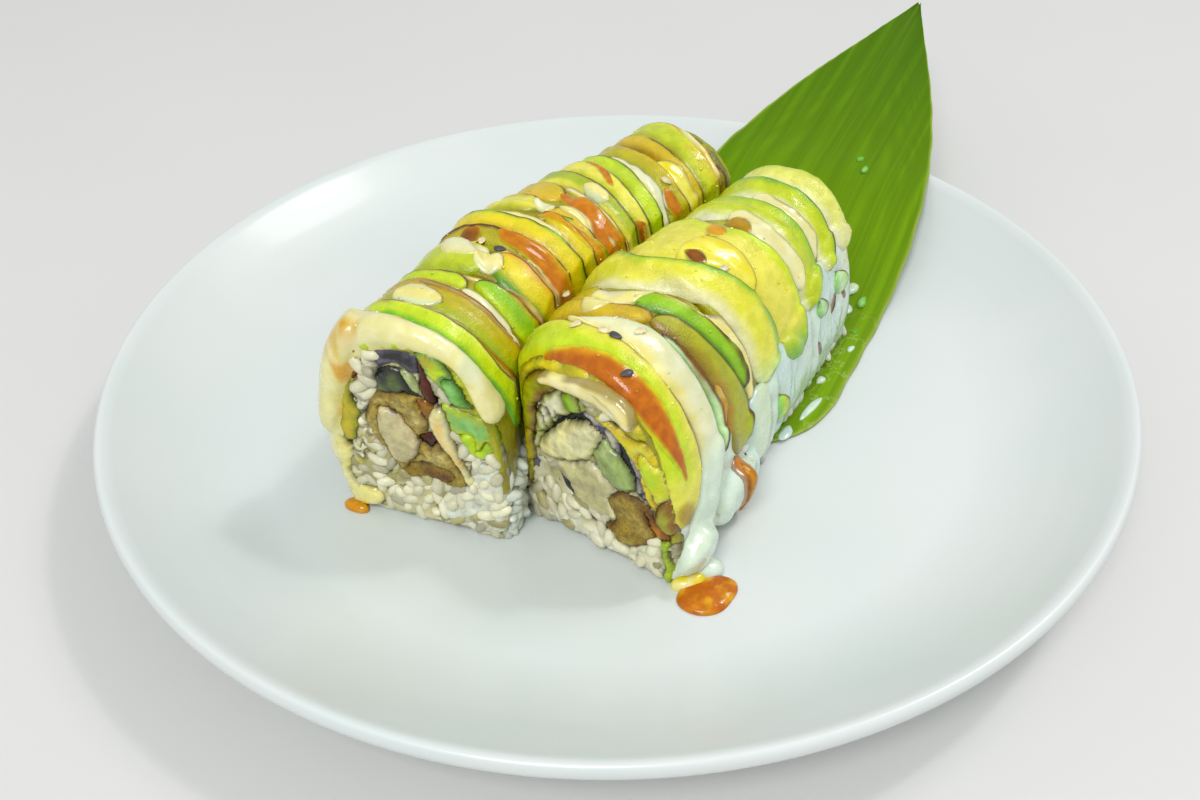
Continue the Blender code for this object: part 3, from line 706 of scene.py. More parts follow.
# strips over each row, front ones first: kind, tones from its near edge to its far one (and low down),
# thickness, then share of the arch from the left foot, and where its near and far edges are, mm
stripValues = {
    "left": (
        ("slice", "leafLime lime paleLime", 1.5, ((0.12, 6, 13), (0.288, 5.2, 12.2), (0.429, 4.5, 10.6),
            (0.48, 4.5, 9.8), (0.572, 3, 9.1), (0.636, 3.3, 9.5), (0.686, 5.1, 10.3), (0.746, 7.8, 14.5),
            (0.816, 9.9, 18.5))),
        ("cream", "cream cream peach", 0.8, ((0.454, 10.7, 11.9), (0.612, 9.5, 10.7), (0.653, 9.8, 10.7),
            (0.693, 11.4, 12.3), (0.749, 15.7, 16.8), (0.803, 18.5, 19.6))),
        ("slice", "oliveGreen oliveYellow brownOrange oliveDark", 1.5, ((0.12, 12, 18),
            (0.394, 11.2, 20.6), (0.449, 11.2, 21.4), (0.542, 11, 19.8), (0.629, 11.5, 18.9),
            (0.69, 13.5, 20), (0.756, 18.3, 23.5), (0.824, 20.7, 24.7))),
        ("sauce", "orange brownOrange brown", 0.35, ((0.611, 10.7, 11.4), (0.642, 10.5, 11.6),
            (0.672, 11.6, 12.8), (0.714, 13.6, 14.9), (0.75, 16.8, 18))),
        ("cream", "cream peach cream", 0.5, ((0.457, 18.7, 19.4), (0.54, 17.6, 18.5), (0.627, 17.3, 18),
            (0.713, 19.8, 20.4))),
        ("cream", "creamCool cream creamPale", 0.9, ((0.427, 11.8, 16.4), (0.45, 10.7, 18.7),
            (0.497, 10.6, 17.8), (0.532, 12.4, 15.7))),
        ("slice", "olive lime olive", 1.5, ((0.12, 19, 26), (0.416, 21.6, 25.5), (0.466, 21.3, 25.8),
            (0.536, 20.2, 26.2))),
        ("cream", "creamWhite creamWhite creamPale", 1.1, ((0.531, 20.7, 23.1), (0.56, 19.9, 23.4),
            (0.603, 19.3, 22.4), (0.64, 18.9, 22.2), (0.666, 18.8, 20.7), (0.712, 21.2, 22.6),
            (0.755, 24, 25.4))),
        ("slice", "limeGreen green orange", 1.6, ((0.539, 24, 27.7), (0.579, 23.2, 27.9),
            (0.621, 22.9, 28.9), (0.662, 22.8, 29.5), (0.712, 24.3, 31.9), (0.759, 26.5, 34),
            (0.82, 28.4, 34.6))),
        ("cream", "peach cream peach", 0.8, ((0.406, 25.5, 26.5), (0.424, 25.7, 26.8),
            (0.486, 26.1, 27.4), (0.533, 26.8, 28), (0.577, 28.2, 29.4), (0.618, 29.4, 30.4),
            (0.686, 31.3, 32.3), (0.758, 34.7, 35.5))),
        ("slice", "oliveGreen yellowGreen paleYellow", 1.6, ((0.12, 26.5, 38), (0.387, 27.4, 39.4),
            (0.432, 27.7, 39.5), (0.462, 28.2, 39), (0.508, 28.8, 34.7), (0.531, 29.9, 32.3))),
        ("cream", "creamPale creamWhite paleYellow", 1.0, ((0.414, 34.4, 39.8), (0.44, 33.1, 40.5),
            (0.473, 32.4, 40.7), (0.513, 34.1, 39.5))),
        ("slice", "greenDark yellow orange", 1.7, ((0.519, 33, 37.1), (0.542, 31.2, 38.8),
            (0.576, 29.2, 38.8), (0.628, 29.9, 38.1), (0.687, 31.7, 38.9), (0.748, 36, 42.6),
            (0.819, 38.4, 44))),
        ("cream", "creamWhite cream creamWhite", 1, ((0.496, 32.1, 37.2), (0.519, 30.6, 38),
            (0.542, 30.6, 37), (0.559, 31.6, 35.3))),
        ("cream", "cream peach cream", 0.8, ((0.508, 39.7, 41.2), (0.575, 39, 40.3), (0.687, 39.1, 40.4),
            (0.758, 42.7, 43.7), (0.799, 44.5, 45.5))),
        ("slice", "olive oliveYellow gold", 1.4, ((0.12, 38.6, 43.3), (0.387, 40.3, 44.2),
            (0.462, 41.1, 44.5), (0.519, 40.7, 44.4), (0.596, 40, 45.3), (0.687, 40.7, 46.4),
            (0.764, 43.9, 49.4), (0.82, 46, 51.3))),
        ("sauce", "brown brown brownOrange", 0.5, ((0.418, 39.3, 43.8), (0.441, 38.6, 44.8),
            (0.468, 39.4, 44.4))),
        ("sauce", "sauceDeep sauce amber", 0.9, ((0.497, 42.7, 44.8), (0.514, 41.9, 45.1),
            (0.575, 40.5, 45.4), (0.636, 39.5, 44.4), (0.687, 40.6, 46.4), (0.764, 43.7, 49.4),
            (0.799, 45.5, 49.9))),
        ("slice", "gold yellow greenRim", 1.9, ((0.12, 44, 52), (0.423, 45, 50.2), (0.463, 45.1, 49.9),
            (0.509, 45.1, 50.2), (0.554, 45.4, 50.6), (0.596, 45.6, 50.9), (0.637, 44.9, 50.9),
            (0.688, 46.8, 53), (0.765, 49.8, 56.6), (0.821, 52.3, 58.2))),
        ("cream", "creamPale cream creamPale", 1, ((0.437, 50.6, 53.1), (0.447, 50.1, 53.7),
            (0.487, 50.2, 54.6), (0.533, 50.3, 54.5), (0.577, 51.1, 53.4), (0.602, 51.2, 52.3))),
        ("slice", "olive paleYellow oliveYellow", 1.5, ((0.12, 53, 63), (0.415, 54.2, 63.1),
            (0.464, 55.7, 63.2), (0.504, 55.7, 62))),
        ("slice", "gold yellow peach", 1.5, ((0.523, 55, 57.1), (0.556, 53.8, 57.5), (0.577, 52.9, 56.9),
            (0.617, 51.9, 56.9), (0.661, 52.2, 57.4), (0.714, 55.1, 59.4), (0.761, 57.5, 62.7),
            (0.821, 59.6, 65))),
        ("slice", "orange gold olive", 1.2, ((0.516, 56.3, 62.3), (0.575, 56.9, 62.9),
            (0.616, 56.9, 61.3), (0.683, 58.6, 63.3), (0.759, 63, 68.3), (0.82, 65.4, 70.3))),
        ("sauce", "amberDeep amber brownOrange", 0.7, ((0.517, 54.6, 57.1), (0.556, 54.5, 57.7),
            (0.597, 54.7, 58.8), (0.637, 55.8, 60.4), (0.684, 58.4, 61.9), (0.747, 61.8, 66),
            (0.791, 64, 67.8))),
        ("slice", "greenDark green olive", 0.9, ((0.544, 57.4, 59.1), (0.576, 57.3, 60.8),
            (0.606, 57.7, 60.5))),
        ("cream", "creamWhite creamWhite cream", 1.2, ((0.482, 59, 62.1), (0.498, 58, 62.7),
            (0.515, 57.8, 63.3), (0.532, 58.9, 62))),
        ("cream", "creamPale cream creamWhite", 1.2, ((0.525, 61.1, 64.5), (0.547, 60.4, 65.2),
            (0.574, 60.6, 65), (0.595, 60.2, 64.8), (0.617, 60.7, 63.6))),
        ("slice", "peachGold gold oliveYellow", 1.5, ((0.12, 64.5, 73), (0.386, 64.3, 72.1),
            (0.459, 64.3, 72.1), (0.51, 64.9, 70.8))),
        ("slice", "gold oliveYellow brownOrange", 1.4, ((0.526, 65.9, 71.2), (0.571, 65.9, 69.9),
            (0.633, 61.4, 69.7), (0.706, 65.7, 72.1), (0.779, 70.6, 76), (0.83, 71.8, 76.6))),
        ("sauce", "sauceDeep sauce amber", 0.9, ((0.497, 67.1, 70.6), (0.509, 66.2, 71.3),
            (0.538, 64.7, 70.7), (0.572, 64.6, 69.9), (0.614, 60.9, 69.1), (0.645, 60.6, 69.7),
            (0.679, 63.7, 70.7), (0.738, 68.2, 73.6), (0.779, 71.1, 75.2))),
        ("cream", "peach creamPale peach", 0.6, ((0.634, 64.3, 65.2), (0.65, 64.4, 66),
            (0.667, 65.1, 67.1), (0.692, 66.7, 68.7), (0.716, 68.4, 69.3))),
        ("cream", "cream creamPale cream", 0.8, ((0.478, 72.1, 73.7), (0.512, 71.6, 73.2),
            (0.569, 70.3, 72.2), (0.632, 69.2, 71.1), (0.678, 70.9, 72.2), (0.744, 74.5, 76),
            (0.799, 77.2, 77.9))),
        ("slice", "paleYellow oliveGreen olive", 1.5, ((0.12, 74, 81), (0.411, 73.4, 79.8),
            (0.455, 74, 79.8), (0.522, 73.3, 78.2), (0.569, 72.6, 76.7), (0.631, 71.6, 75.5),
            (0.677, 72.5, 76.3), (0.75, 76.3, 79.4), (0.809, 78.5, 81.4))),
        ("cream", "creamCool cream creamCool", 0.8, ((0.511, 74.1, 76.8), (0.534, 72.9, 77.2),
            (0.557, 72.6, 76.7), (0.579, 73, 75.4))),
        ("slice", "yellowGreen paleYellow limeGreen", 1.5, ((0.12, 81.5, 88), (0.411, 80.6, 87.3),
            (0.454, 80.9, 87.9), (0.52, 79.3, 85.3), (0.589, 76.9, 82.3), (0.652, 76.9, 81.1),
            (0.747, 80.8, 84.7), (0.807, 83.3, 87.1))),
        ("sauce", "brownOrange sauce brown", 0.6, ((0.445, 86, 87.4), (0.463, 85.6, 88.4),
            (0.483, 84.5, 88.1), (0.519, 81.6, 84.7), (0.538, 80.4, 82.6), (0.556, 79.9, 80.9))),
        ("sauce", "brown sauceDeep brown", 0.6, ((0.636, 76.9, 78.4), (0.652, 76.6, 80),
            (0.676, 77.2, 80.7), (0.703, 78.5, 81.2), (0.736, 80.1, 81.4))),
        ("slice", "brightLime lime green", 1.7, ((0.12, 88.5, 93.5), (0.42, 87.7, 93.9),
            (0.453, 88.8, 93.8), (0.518, 86.2, 91.9), (0.588, 83, 88.8), (0.65, 81.7, 87),
            (0.743, 85.2, 88.7), (0.806, 87.5, 91.8))),
        ("slice", "olive oliveYellow gold", 1.4, ((0.12, 94.5, 103), (0.419, 94.6, 102.3),
            (0.454, 96.3, 101.3), (0.52, 95, 100.6), (0.567, 94.5, 99.6), (0.63, 92.2, 98.9),
            (0.697, 90.3, 100.2), (0.743, 91, 102.4), (0.818, 93.4, 103.6))),
        ("cream", "creamPale creamWhite creamCool", 1.3, ((0.445, 94.2, 95.6), (0.463, 93.6, 96.4),
            (0.518, 92.2, 95), (0.565, 90.1, 94.7), (0.609, 88.6, 93.8), (0.639, 88.3, 91.7),
            (0.671, 87.5, 90.3), (0.708, 88.3, 89.9))),
        ("sauce", "sauceDeep sauce brown", 0.7, ((0.609, 93.8, 95.8), (0.624, 92.3, 96.4),
            (0.639, 91.6, 96.4), (0.66, 91.8, 96.5), (0.677, 92.7, 96.4), (0.695, 94, 96))),
        ("slice", "goldDark gold olive", 1.3, ((0.12, 103.6, 110), (0.458, 103.2, 108.6),
            (0.502, 102.7, 107.4), (0.571, 101.5, 105.2), (0.634, 102.2, 105.5), (0.704, 103.4, 106.6),
            (0.789, 105.9, 109))),
        ("cream", "cream paleYellow cream", 1, ((0.54, 100.6, 102.1), (0.569, 99.3, 103.4),
            (0.591, 99, 104.1), (0.632, 99.4, 103.6), (0.676, 100.4, 104.2), (0.702, 102.1, 104.1))),
        ("slice", "olive yellowGreen paleYellow", 1.6, ((0.12, 110.5, 118), (0.424, 109.4, 116.7),
            (0.464, 109.2, 117.8), (0.532, 107.9, 115.6), (0.597, 106.7, 114.3), (0.682, 106.4, 113.9),
            (0.735, 108.3, 115), (0.821, 110.1, 116.3))),
        ("cream", "creamPale cream creamPale", 1.1, ((0.491, 116, 118.1), (0.524, 114.2, 118.1),
            (0.578, 112.7, 116.5), (0.639, 112.1, 114.8), (0.673, 113.1, 114.8))),
        ("slice", "brown oliveDark brown", 1.1, ((0.619, 114.9, 116.5), (0.65, 113.8, 116.8),
            (0.686, 114.2, 117.5), (0.738, 115.3, 118.9), (0.802, 116.3, 119.3))),
    ),
    "right": (
        ("slice", "yellow lime paleYellow paleYellow", 2, ((0.219, -3, 9), (0.299, -3, 10), (0.458, -3, 10),
            (0.498, -2, 10.5), (0.598, -2.1, 9.6), (0.678, -3.2, 10.6), (0.737, -4.3, 11.3),
            (0.797, -4.3, 11.2), (0.841, -3.8, 8), (0.87, -2, 4.5))),
        ("sauce", "sauceRed sauceDeep orange sauceAmber", 1.1, ((0.42, -3.2, 0.4), (0.463, -3.4, 2),
            (0.498, -3, 4.2), (0.538, -2.6, 5), (0.578, -1.8, 5.6), (0.618, -1, 6.2),
            (0.658, -0.4, 6.4), (0.698, 0.8, 6.2), (0.737, 2, 5.6), (0.765, 3, 5.2), (0.79, 3.6, 5))),
        ("mayo", "cream creamBeige cream", 4.2, ((0.40, -5.4, -3), (0.44, -6.2, -2.6), (0.478, -6.8, -2.4),
            (0.518, -7, -1.2), (0.558, -6.6, -0.4), (0.598, -5.6, 0.3), (0.628, -4.6, 0.5), (0.65, -3.2, -0.2))),
        ("slice", "greenPale greenMint greenDark", 1.3, ((0.578, 18.7, 19.9), (0.598, 18.5, 20.4),
            (0.638, 19, 20.8), (0.678, 19.6, 21.6), (0.717, 20.3, 23.3), (0.757, 20.7, 24.2),
            (0.797, 20.4, 23.1), (0.826, 19.9, 21.5))),
        ("slice", "goldDark gold olive", 1.4, ((0.249, 13, 20), (0.448, 13.8, 19), (0.477, 14.4, 19.5),
            (0.497, 15.4, 21.5), (0.528, 17.3, 22.7), (0.553, 19.6, 24))),
        ("slice", "oliveDark olive oliveGreen", 1.7, ((0.548, 19, 23.2), (0.578, 20.1, 25.1),
            (0.618, 21.4, 26.3), (0.658, 22.2, 28), (0.698, 23.1, 30), (0.737, 25.1, 31.8),
            (0.767, 25.7, 33.1), (0.817, 24, 33.2), (0.866, 23.6, 32.6))),
        ("slice", "greenDark leafGreen oliveGreen", 1.8, ((0.502, 22.6, 26.6), (0.517, 22.6, 28.2),
            (0.538, 23.5, 28.4), (0.578, 25.1, 29.5), (0.618, 26.9, 31.5), (0.658, 28.4, 32.9),
            (0.698, 30.4, 33.9), (0.738, 32, 34.4), (0.768, 33.2, 34.8))),
        ("cream", "peach cream creamCool", 0.7, ((0.707, 23.7, 24.7), (0.727, 24, 25.5),
            (0.757, 25.1, 26.3), (0.797, 23, 24.2))),
        ("cream", "creamPale cream pinkWhite", 1.3, ((0.428, 14, 25.1), (0.457, 15, 26.1),
            (0.477, 18, 27.6), (0.497, 22.2, 29.1), (0.517, 27.1, 30.1), (0.558, 28.8, 31.3),
            (0.598, 30, 32.6), (0.638, 31.8, 34.6), (0.678, 33.2, 35.8), (0.718, 34.1, 37.1),
            (0.758, 34.2, 37.1), (0.798, 33.4, 36.3))),
        ("slice", "goldDark gold olive", 1.2, ((0.18, 14, 27), (0.299, 14, 27.1), (0.418, 13.5, 26.6),
            (0.453, 14, 25.1))),
        ("mayo", "cream creamWhite creamCool mayoCool", 2.6, ((0.438, 9, 11), (0.453, 9, 12),
            (0.477, 10, 13.5), (0.497, 10.6, 15.5), (0.528, 10.3, 17), (0.558, 9.5, 18.4),
            (0.598, 9.6, 18.5), (0.638, 9.7, 18.8), (0.678, 10.8, 19.2), (0.717, 11.7, 20),
            (0.757, 11.9, 20.7), (0.796, 11.1, 20.4), (0.826, 8.6, 18.5), (0.856, 6, 16.5),
            (0.894, 2.6, 15), (0.946, -1.4, 13), (1, -3.4, 12))),
        ("slice", "creamPale speckled greenRim greenMint", 2.2, ((0.199, 29, 42.1),
            (0.397, 28.1, 40.4), (0.457, 27.9, 35.3), (0.497, 29.9, 37.9), (0.537, 31.6, 40.4),
            (0.578, 32.9, 43.3), (0.618, 34.7, 45.8), (0.658, 36, 48.2), (0.698, 37.3, 50.2),
            (0.738, 37.9, 51.2), (0.768, 37.9, 50), (0.788, 38.3, 46.8), (0.803, 39.9, 43.9))),
        ("slice", "paleYellow paleYellow lime greenRim", 2, ((0.198, 43.1, 60.5), (0.394, 41.4, 61.7),
            (0.448, 39.4, 62.4), (0.494, 41.5, 60.4), (0.534, 47.6, 62.2), (0.575, 50.6, 63.2),
            (0.616, 51.5, 64.1), (0.657, 50.9, 64.8), (0.718, 51.9, 65), (0.758, 52.8, 64),
            (0.799, 53.3, 63.5), (0.83, 55.5, 62.9))),
        ("cream", "paleYellow paleYellow yellow", 1.4, ((0.49, 41.5, 52), (0.505, 40.4, 54.2),
            (0.536, 42, 55.2), (0.577, 45.2, 54.9), (0.617, 47.2, 54.3), (0.648, 48.8, 52.5))),
        ("sauce", "maroon brown maroon", 0.8, ((0.504, 43.9, 45.4), (0.527, 41.9, 47.4),
            (0.542, 42.1, 47), (0.552, 43.4, 45.5))),
        ("sauce", "amberDeep amber oliveDark", 0.6, ((0.49, 56, 60.5), (0.502, 54.2, 61.5),
            (0.518, 54.1, 60.8), (0.534, 55.6, 59.1))),
        ("slice", "creamWhite yellowGreen green greenRim", 1.9, ((0.196, 62.6, 76.6), (0.443, 65.2, 80),
            (0.482, 68.1, 80.2), (0.526, 71.1, 80.2), (0.592, 70.4, 80.1), (0.644, 69.9, 80),
            (0.696, 67.9, 79.2), (0.733, 66, 77.2), (0.769, 64.9, 73.3))),
        ("cream", "creamWhite creamPale creamPale", 1.4, ((0.485, 67.4, 71.5), (0.507, 65, 73.1),
            (0.55, 64.2, 72.6), (0.593, 64, 72), (0.634, 64.4, 72.2), (0.676, 65.3, 72.6),
            (0.717, 66.7, 70.6))),
        ("sauce", "maroon amberDeep oliveDark", 1.1, ((0.491, 64.2, 67.2), (0.508, 63.1, 69.8),
            (0.525, 62.6, 69.9), (0.541, 62.9, 68.5), (0.558, 63.4, 65.4))),
        ("slice", "creamWhite yellowGreen greenRim greenPale", 1.9, ((0.196, 77.2, 89.7),
            (0.443, 80.4, 92.5), (0.484, 82.4, 92.5), (0.529, 84.2, 91.6), (0.593, 84.2, 91),
            (0.635, 84.1, 91.6), (0.666, 84.3, 91), (0.697, 83.6, 89.4), (0.744, 82.3, 88.3))),
        ("cream", "creamWhite creamPale creamPale", 1.3, ((0.475, 81.4, 83.8), (0.504, 81, 85.5),
            (0.548, 81.1, 85.3), (0.613, 80.8, 85.2), (0.655, 81.3, 85.8), (0.696, 80.7, 83.2))),
        ("slice", "creamWhite paleLime yellowGreen", 1.8, ((0.198, 90.4, 98.5), (0.45, 93.1, 100.3),
            (0.491, 93, 101.2), (0.554, 92.2, 101.6), (0.596, 91.9, 102.3), (0.658, 92.7, 102.7),
            (0.699, 93.3, 102.1), (0.741, 93.8, 99.9))),
    ),
}

# thick mayonnaise, and the cream that runs down the outer side
flowValues = {
    "left": (
        ("flow", "cream creamPale cream", 2.0, ((0.16, -2, 5), (0.23, -3.6, 10), (0.29, -4.4, 12), (0.35, -4, 11),
            (0.41, -2, 6))),
        ("mayo", "cream creamPale creamPale", 2.6, ((0.09, -2, 3), (0.16, -4.6, 6), (0.26, -6, 11), (0.35, -6, 9),
            (0.42, -5.8, 5.6), (0.47, -5.4, 4.6), (0.53, -4.4, 3.6), (0.58, -2.4, 3.2), (0.63, -1, 3.6),
            (0.68, -1.8, 5.2), (0.72, -2, 6.8), (0.755, -1, 7.6))),
    ),
    "right": (
        # the cool blue-white of these runs down the right side is painted cool shade over white cream
        ("flow", "mayoCool mayoBlue mayoBlue", 5.0, ((0.895, 3, 10), (0.93, 1.5, 12), (0.96, 1, 12.6), (0.995, 0.6, 13))),
        ("flow", "riceWhite mayoCool riceWhite", 5.5, ((0.875, 20, 30), (0.91, 17, 34), (0.95, 16, 36), (0.995, 16, 37))),
        ("flow", "mayoBlue creamCool mayoCool", 1.5, ((0.79, 32, 46), (0.85, 31, 47), (0.92, 32, 46), (0.99, 33, 48))),
        ("flow", "mayoCool mayoBlue mayoBlue", 2.1, ((0.765, 45, 59), (0.82, 43, 61), (0.90, 44, 59), (0.99, 45, 62))),
        ("flow", "mayoBlue mayoCool mayoBlue", 1.4, ((0.735, 58, 73), (0.80, 56, 75), (0.87, 58, 73), (0.93, 57, 76),
            (0.99, 59, 73))),
        ("flow", "mayoCool mayoBlue creamCool", 2.1, ((0.70, 71, 87), (0.77, 69, 89), (0.85, 71, 87), (0.91, 70, 90),
            (0.98, 72, 87))),
        ("flow", "mayoBlue mayoCool mayoBlue", 1.5, ((0.67, 86, 100), (0.74, 84, 102.4), (0.82, 85, 102),
            (0.89, 84, 103), (0.97, 86, 100))),
        ("slice", "greenPale greenMint greenDark", 1.8, ((0.765, 73, 76.4), (0.79, 72, 78.4), (0.815, 74, 78))),
        ("slice", "greenPale limeGreen oliveGreen", 2.0, ((0.855, 46, 49), (0.88, 45.4, 50.6), (0.915, 46.5, 50))),
        ("slice", "greenPale greenMint green", 1.9, ((0.76, 87, 91), (0.79, 86, 93.6), (0.82, 88, 93))),
        ("flow", "creamWhite mayoCool mayoCool", 1.6, ((0.78, 16, 25), (0.84, 12, 27), (0.90, 11, 28), (0.97, 9, 24))),
        # three dark brown-green strips: painted shade in gaps between the cream runs
        ("cream", "brown noriGreen brown", 0.7, ((0.855, 72, 73.4), (0.875, 73, 75), (0.90, 74.6, 76))),
        ("cream", "brown noriGreen brown", 0.7, ((0.80, 85.4, 87), (0.82, 85, 87.4), (0.845, 84.6, 86))),
        ("cream", "brown noriGreen brown", 0.6, ((0.815, 91.6, 93), (0.83, 92, 94.4), (0.85, 93.4, 95))),
        ("cream", "brown brownOrange stain", 1.6, ((0.855, 23, 26.4), (0.88, 22.4, 27), (0.92, 22, 27.6),
            (0.955, 22.4, 28), (0.99, 23, 30))),
        ("sauce", "sauceAmber brownOrange stain", 1.8, ((0.87, 23.6, 26), (0.91, 23, 26.8),
            (0.95, 23.4, 27.2), (0.985, 24, 28.4))),
    ),
}
for name, strips in flowValues.items():
    stripValues[name] += strips


def bandTone(side, names):
    # colour across a strip, from its near edge at -1 to its far edge at 1
    near, mid, far = [paint(name) for name in names[:3]]
    first = smoothStep(side, -0.95, -0.2)[..., None]
    second = smoothStep(side, 0.25, 0.95)[..., None]
    tone = near * (1 - first) + mid * first
    return tone * (1 - second) + far * second


def tonesAcross(names, side, share, points, seed):
    names = names.split()
    drift = cloud(points, 7, seed) * 0.9 + cloud(points, 2.4, seed + 1) * 0.5
    tone = bandTone(np.clip(side + drift * 0.45, -1, 1), names)
    if len(names) > 3:
        low = (smoothStep(share, 0.74, 0.82) * 0.9)[..., None]
        tone = tone * (1 - low) + paint(names[3]) * low
    shade = 1 + 0.2 * cloud(points, 4.0, seed + 2)
    return tone * shade[..., None]


# how each kind of strip lies, mm: how blunt its near and far edges are, columns, wander of its edges, end rounding,
# ripple, sink, how much higher the far edge stands, how far its edges take the colour below, thickness share
kindValues = {
    "slice": {"near": 2.6, "far": 7.0, "columns": 23, "wander": 0.6, "cap": 5.0, "ripple": 0.4, "sink": 0.9,
              "tilt": 0.5, "fade": 0.0, "share": 1.0},
    "cream": {"near": 2.2, "far": 2.6, "columns": 15, "wander": 0.9, "cap": 2.5, "ripple": 0.4, "sink": 0.4,
              "tilt": 0.0, "fade": 0.3, "share": 0.8},
    "mayo": {"near": 2.4, "far": 2.6, "columns": 25, "wander": 0.6, "cap": 3.5, "ripple": 0.4, "sink": 0.4,
             "tilt": 0.0, "fade": 0.0, "share": 1.0},
    "flow": {"near": 2.2, "far": 2.4, "columns": 31, "wander": 1.8, "cap": 5.0, "ripple": 0.9, "sink": 0.4,
             "tilt": 0.0, "fade": 0.0, "share": 1.0},
    "sauce": {"near": 3.0, "far": 3.0, "columns": 17, "wander": 0.7, "cap": 3.0, "ripple": 0.15, "sink": 0.15,
              "tilt": 0.0, "fade": 0.95, "share": 0.42},
}
seedCount = [100]


def crownOf(side, values):
    power = np.where(side < 0, values["near"], values["far"])
    return np.clip(1 - np.abs(side) ** power, 0, 1) ** (1 / power)


def layStrip(build, row, kind, names, thick, stations):
    # lays one closed strip over the row and raises the row's top where it lies
    values = kindValues[kind]
    seedCount[0] += 7
    seed = seedCount[0]
    thick = thick * values["share"]
    stations = np.array(stations, float)
    start, end = stations[0, 0], stations[-1, 0]
    count = max(14, int((end - start) * archLength / 0.72))
    u = np.linspace(start, end, count)
    width = max(1, int(count * 0.045))
    edges = [blurred(np.interp(u, stations[:, 0], stations[:, i]), width) for i in (1, 2)]
    line = np.stack([u * archLength, u * 0], -1)
    wander = [(cloud(line, 6.0, seed + i) + 0.35 * cloud(line, 1.9, seed + i)) * values["wander"] for i in (0, 1)]
    near = edges[0] + wander[0]
    far = edges[1] + wander[1]
    middle = (near + far) / 2
    half = np.maximum((far - near) / 2, 0.2)
    ends = np.minimum((u - start), (end - u)) * archLength
    cap = min(values["cap"], (end - start) * archLength / 2.2)
    taper = np.sqrt(np.clip(1 - (1 - np.clip(ends / cap, 0, 1)) ** 2, 0.002, 1))
    half = half * taper
    side = np.sin(np.linspace(-pi / 2, pi / 2, values["columns"]))[None, :]
    path = middle[:, None] + half[:, None] * side
    share = u[:, None] + 0 * path
    field = row.base if kind == "slice" else row.soft
    crown = crownOf(side, values)
    lean = 1 + values["tilt"] * side
    flat = np.stack([path, share * archLength], -1)
    folds = flat * [1, 0.3 if kind == "flow" else 1]
    ripple = (cloud(folds, 3.2, seed + 2) + 0.5 * cloud(folds, 1.5, seed + 3)) * values["ripple"]
    rise = thick * taper[:, None] ** 0.7
    height = row.topAt(path, share, field) + rise * crown * lean + ripple * crown - values["sink"] * (1 - crown)
    top = row.skin(path, share, height)
    belowSide = np.array([[0.85, 0.0, -0.85]])
    belowPath = middle[:, None] + half[:, None] * belowSide
    below = row.skin(belowPath, u[:, None] + 0 * belowPath,
                     row.topAt(belowPath, u[:, None] + 0 * belowPath, field) - values["sink"] - 0.5)
    loops = np.concatenate([top, below], 1)
    tones = tonesAcross(names, side + 0 * path, share, top, seed)
    if values["fade"]:
        rim = np.maximum(smoothStep(np.abs(side) + 0 * path, 0.55, 0.98), smoothStep(-taper, -0.85, -0.2)[:, None])
        rim = (rim * values["fade"])[..., None]
        tones = tones * (1 - rim) + row.shadeAt(path, share) * rim
    if kind in ("slice", "cream", "mayo"):
        # a thin brown line along the far edge: painted shade where a strip stands proud of the next, partly sauce
        # caught there
        patch = smoothStep(cloud(line, 9.0, seed + 4), -0.36, -0.06)[:, None]
        dark = smoothStep((side - 1) * half[:, None], -1.15, -0.55) * patch * (0.95 if kind == "slice" else 0.6)
        tones = tones * (1 - dark[..., None]) + paint("edge") * dark[..., None]
    for spotPath, spotShare, wide, long, name, strength in stainAndShadeValues[row.name]:
        reach = ((path - spotPath) / wide) ** 2 + ((share - spotShare) * archLength / long) ** 2
        mark = smoothStep(-reach + cloud(flat, 3.0, 77) * 1.3, -1.0, 0.1)[..., None] * strength
        tones = tones * (1 - mark) + paint(name) * mark
    tones = np.clip(tones, 0.002, 1)
    tones = np.concatenate([tones, tones[:, [-2, values["columns"] // 2, 1]]], 1)
    size = loops.shape[1]
    faces = ringFaces(count, size)
    faces.append(list(range(size)))
    faces.append(list(range((count - 1) * size, count * size))[::-1])
    build.add(loops, faces, tones.reshape(-1, 3))
    # what lies above this strip rests on it
    grid = row.uGrid
    inside = np.nonzero((grid > start) & (grid < end))[0]
    nearAt = np.interp(grid[inside], u, middle - half)
    farAt = np.interp(grid[inside], u, middle + half)
    riseAt = np.interp(grid[inside], u, rise[:, 0])
    across = (row.grid[:, None] - (nearAt + farAt) / 2) / np.maximum((farAt - nearAt) / 2, 0.05)
    heightAt = field[:, inside] + riseAt * crownOf(across, values) * (1 + values["tilt"] * across)
    covered = (np.abs(across) < 1) & (heightAt >= row.top[:, inside])
    row.top[:, inside] = np.where(covered, heightAt, row.top[:, inside])
    colour = bandTone(np.clip(across, -1, 1), names.split())
    row.shade[:, inside] = np.where(covered[..., None], colour, row.shade[:, inside])
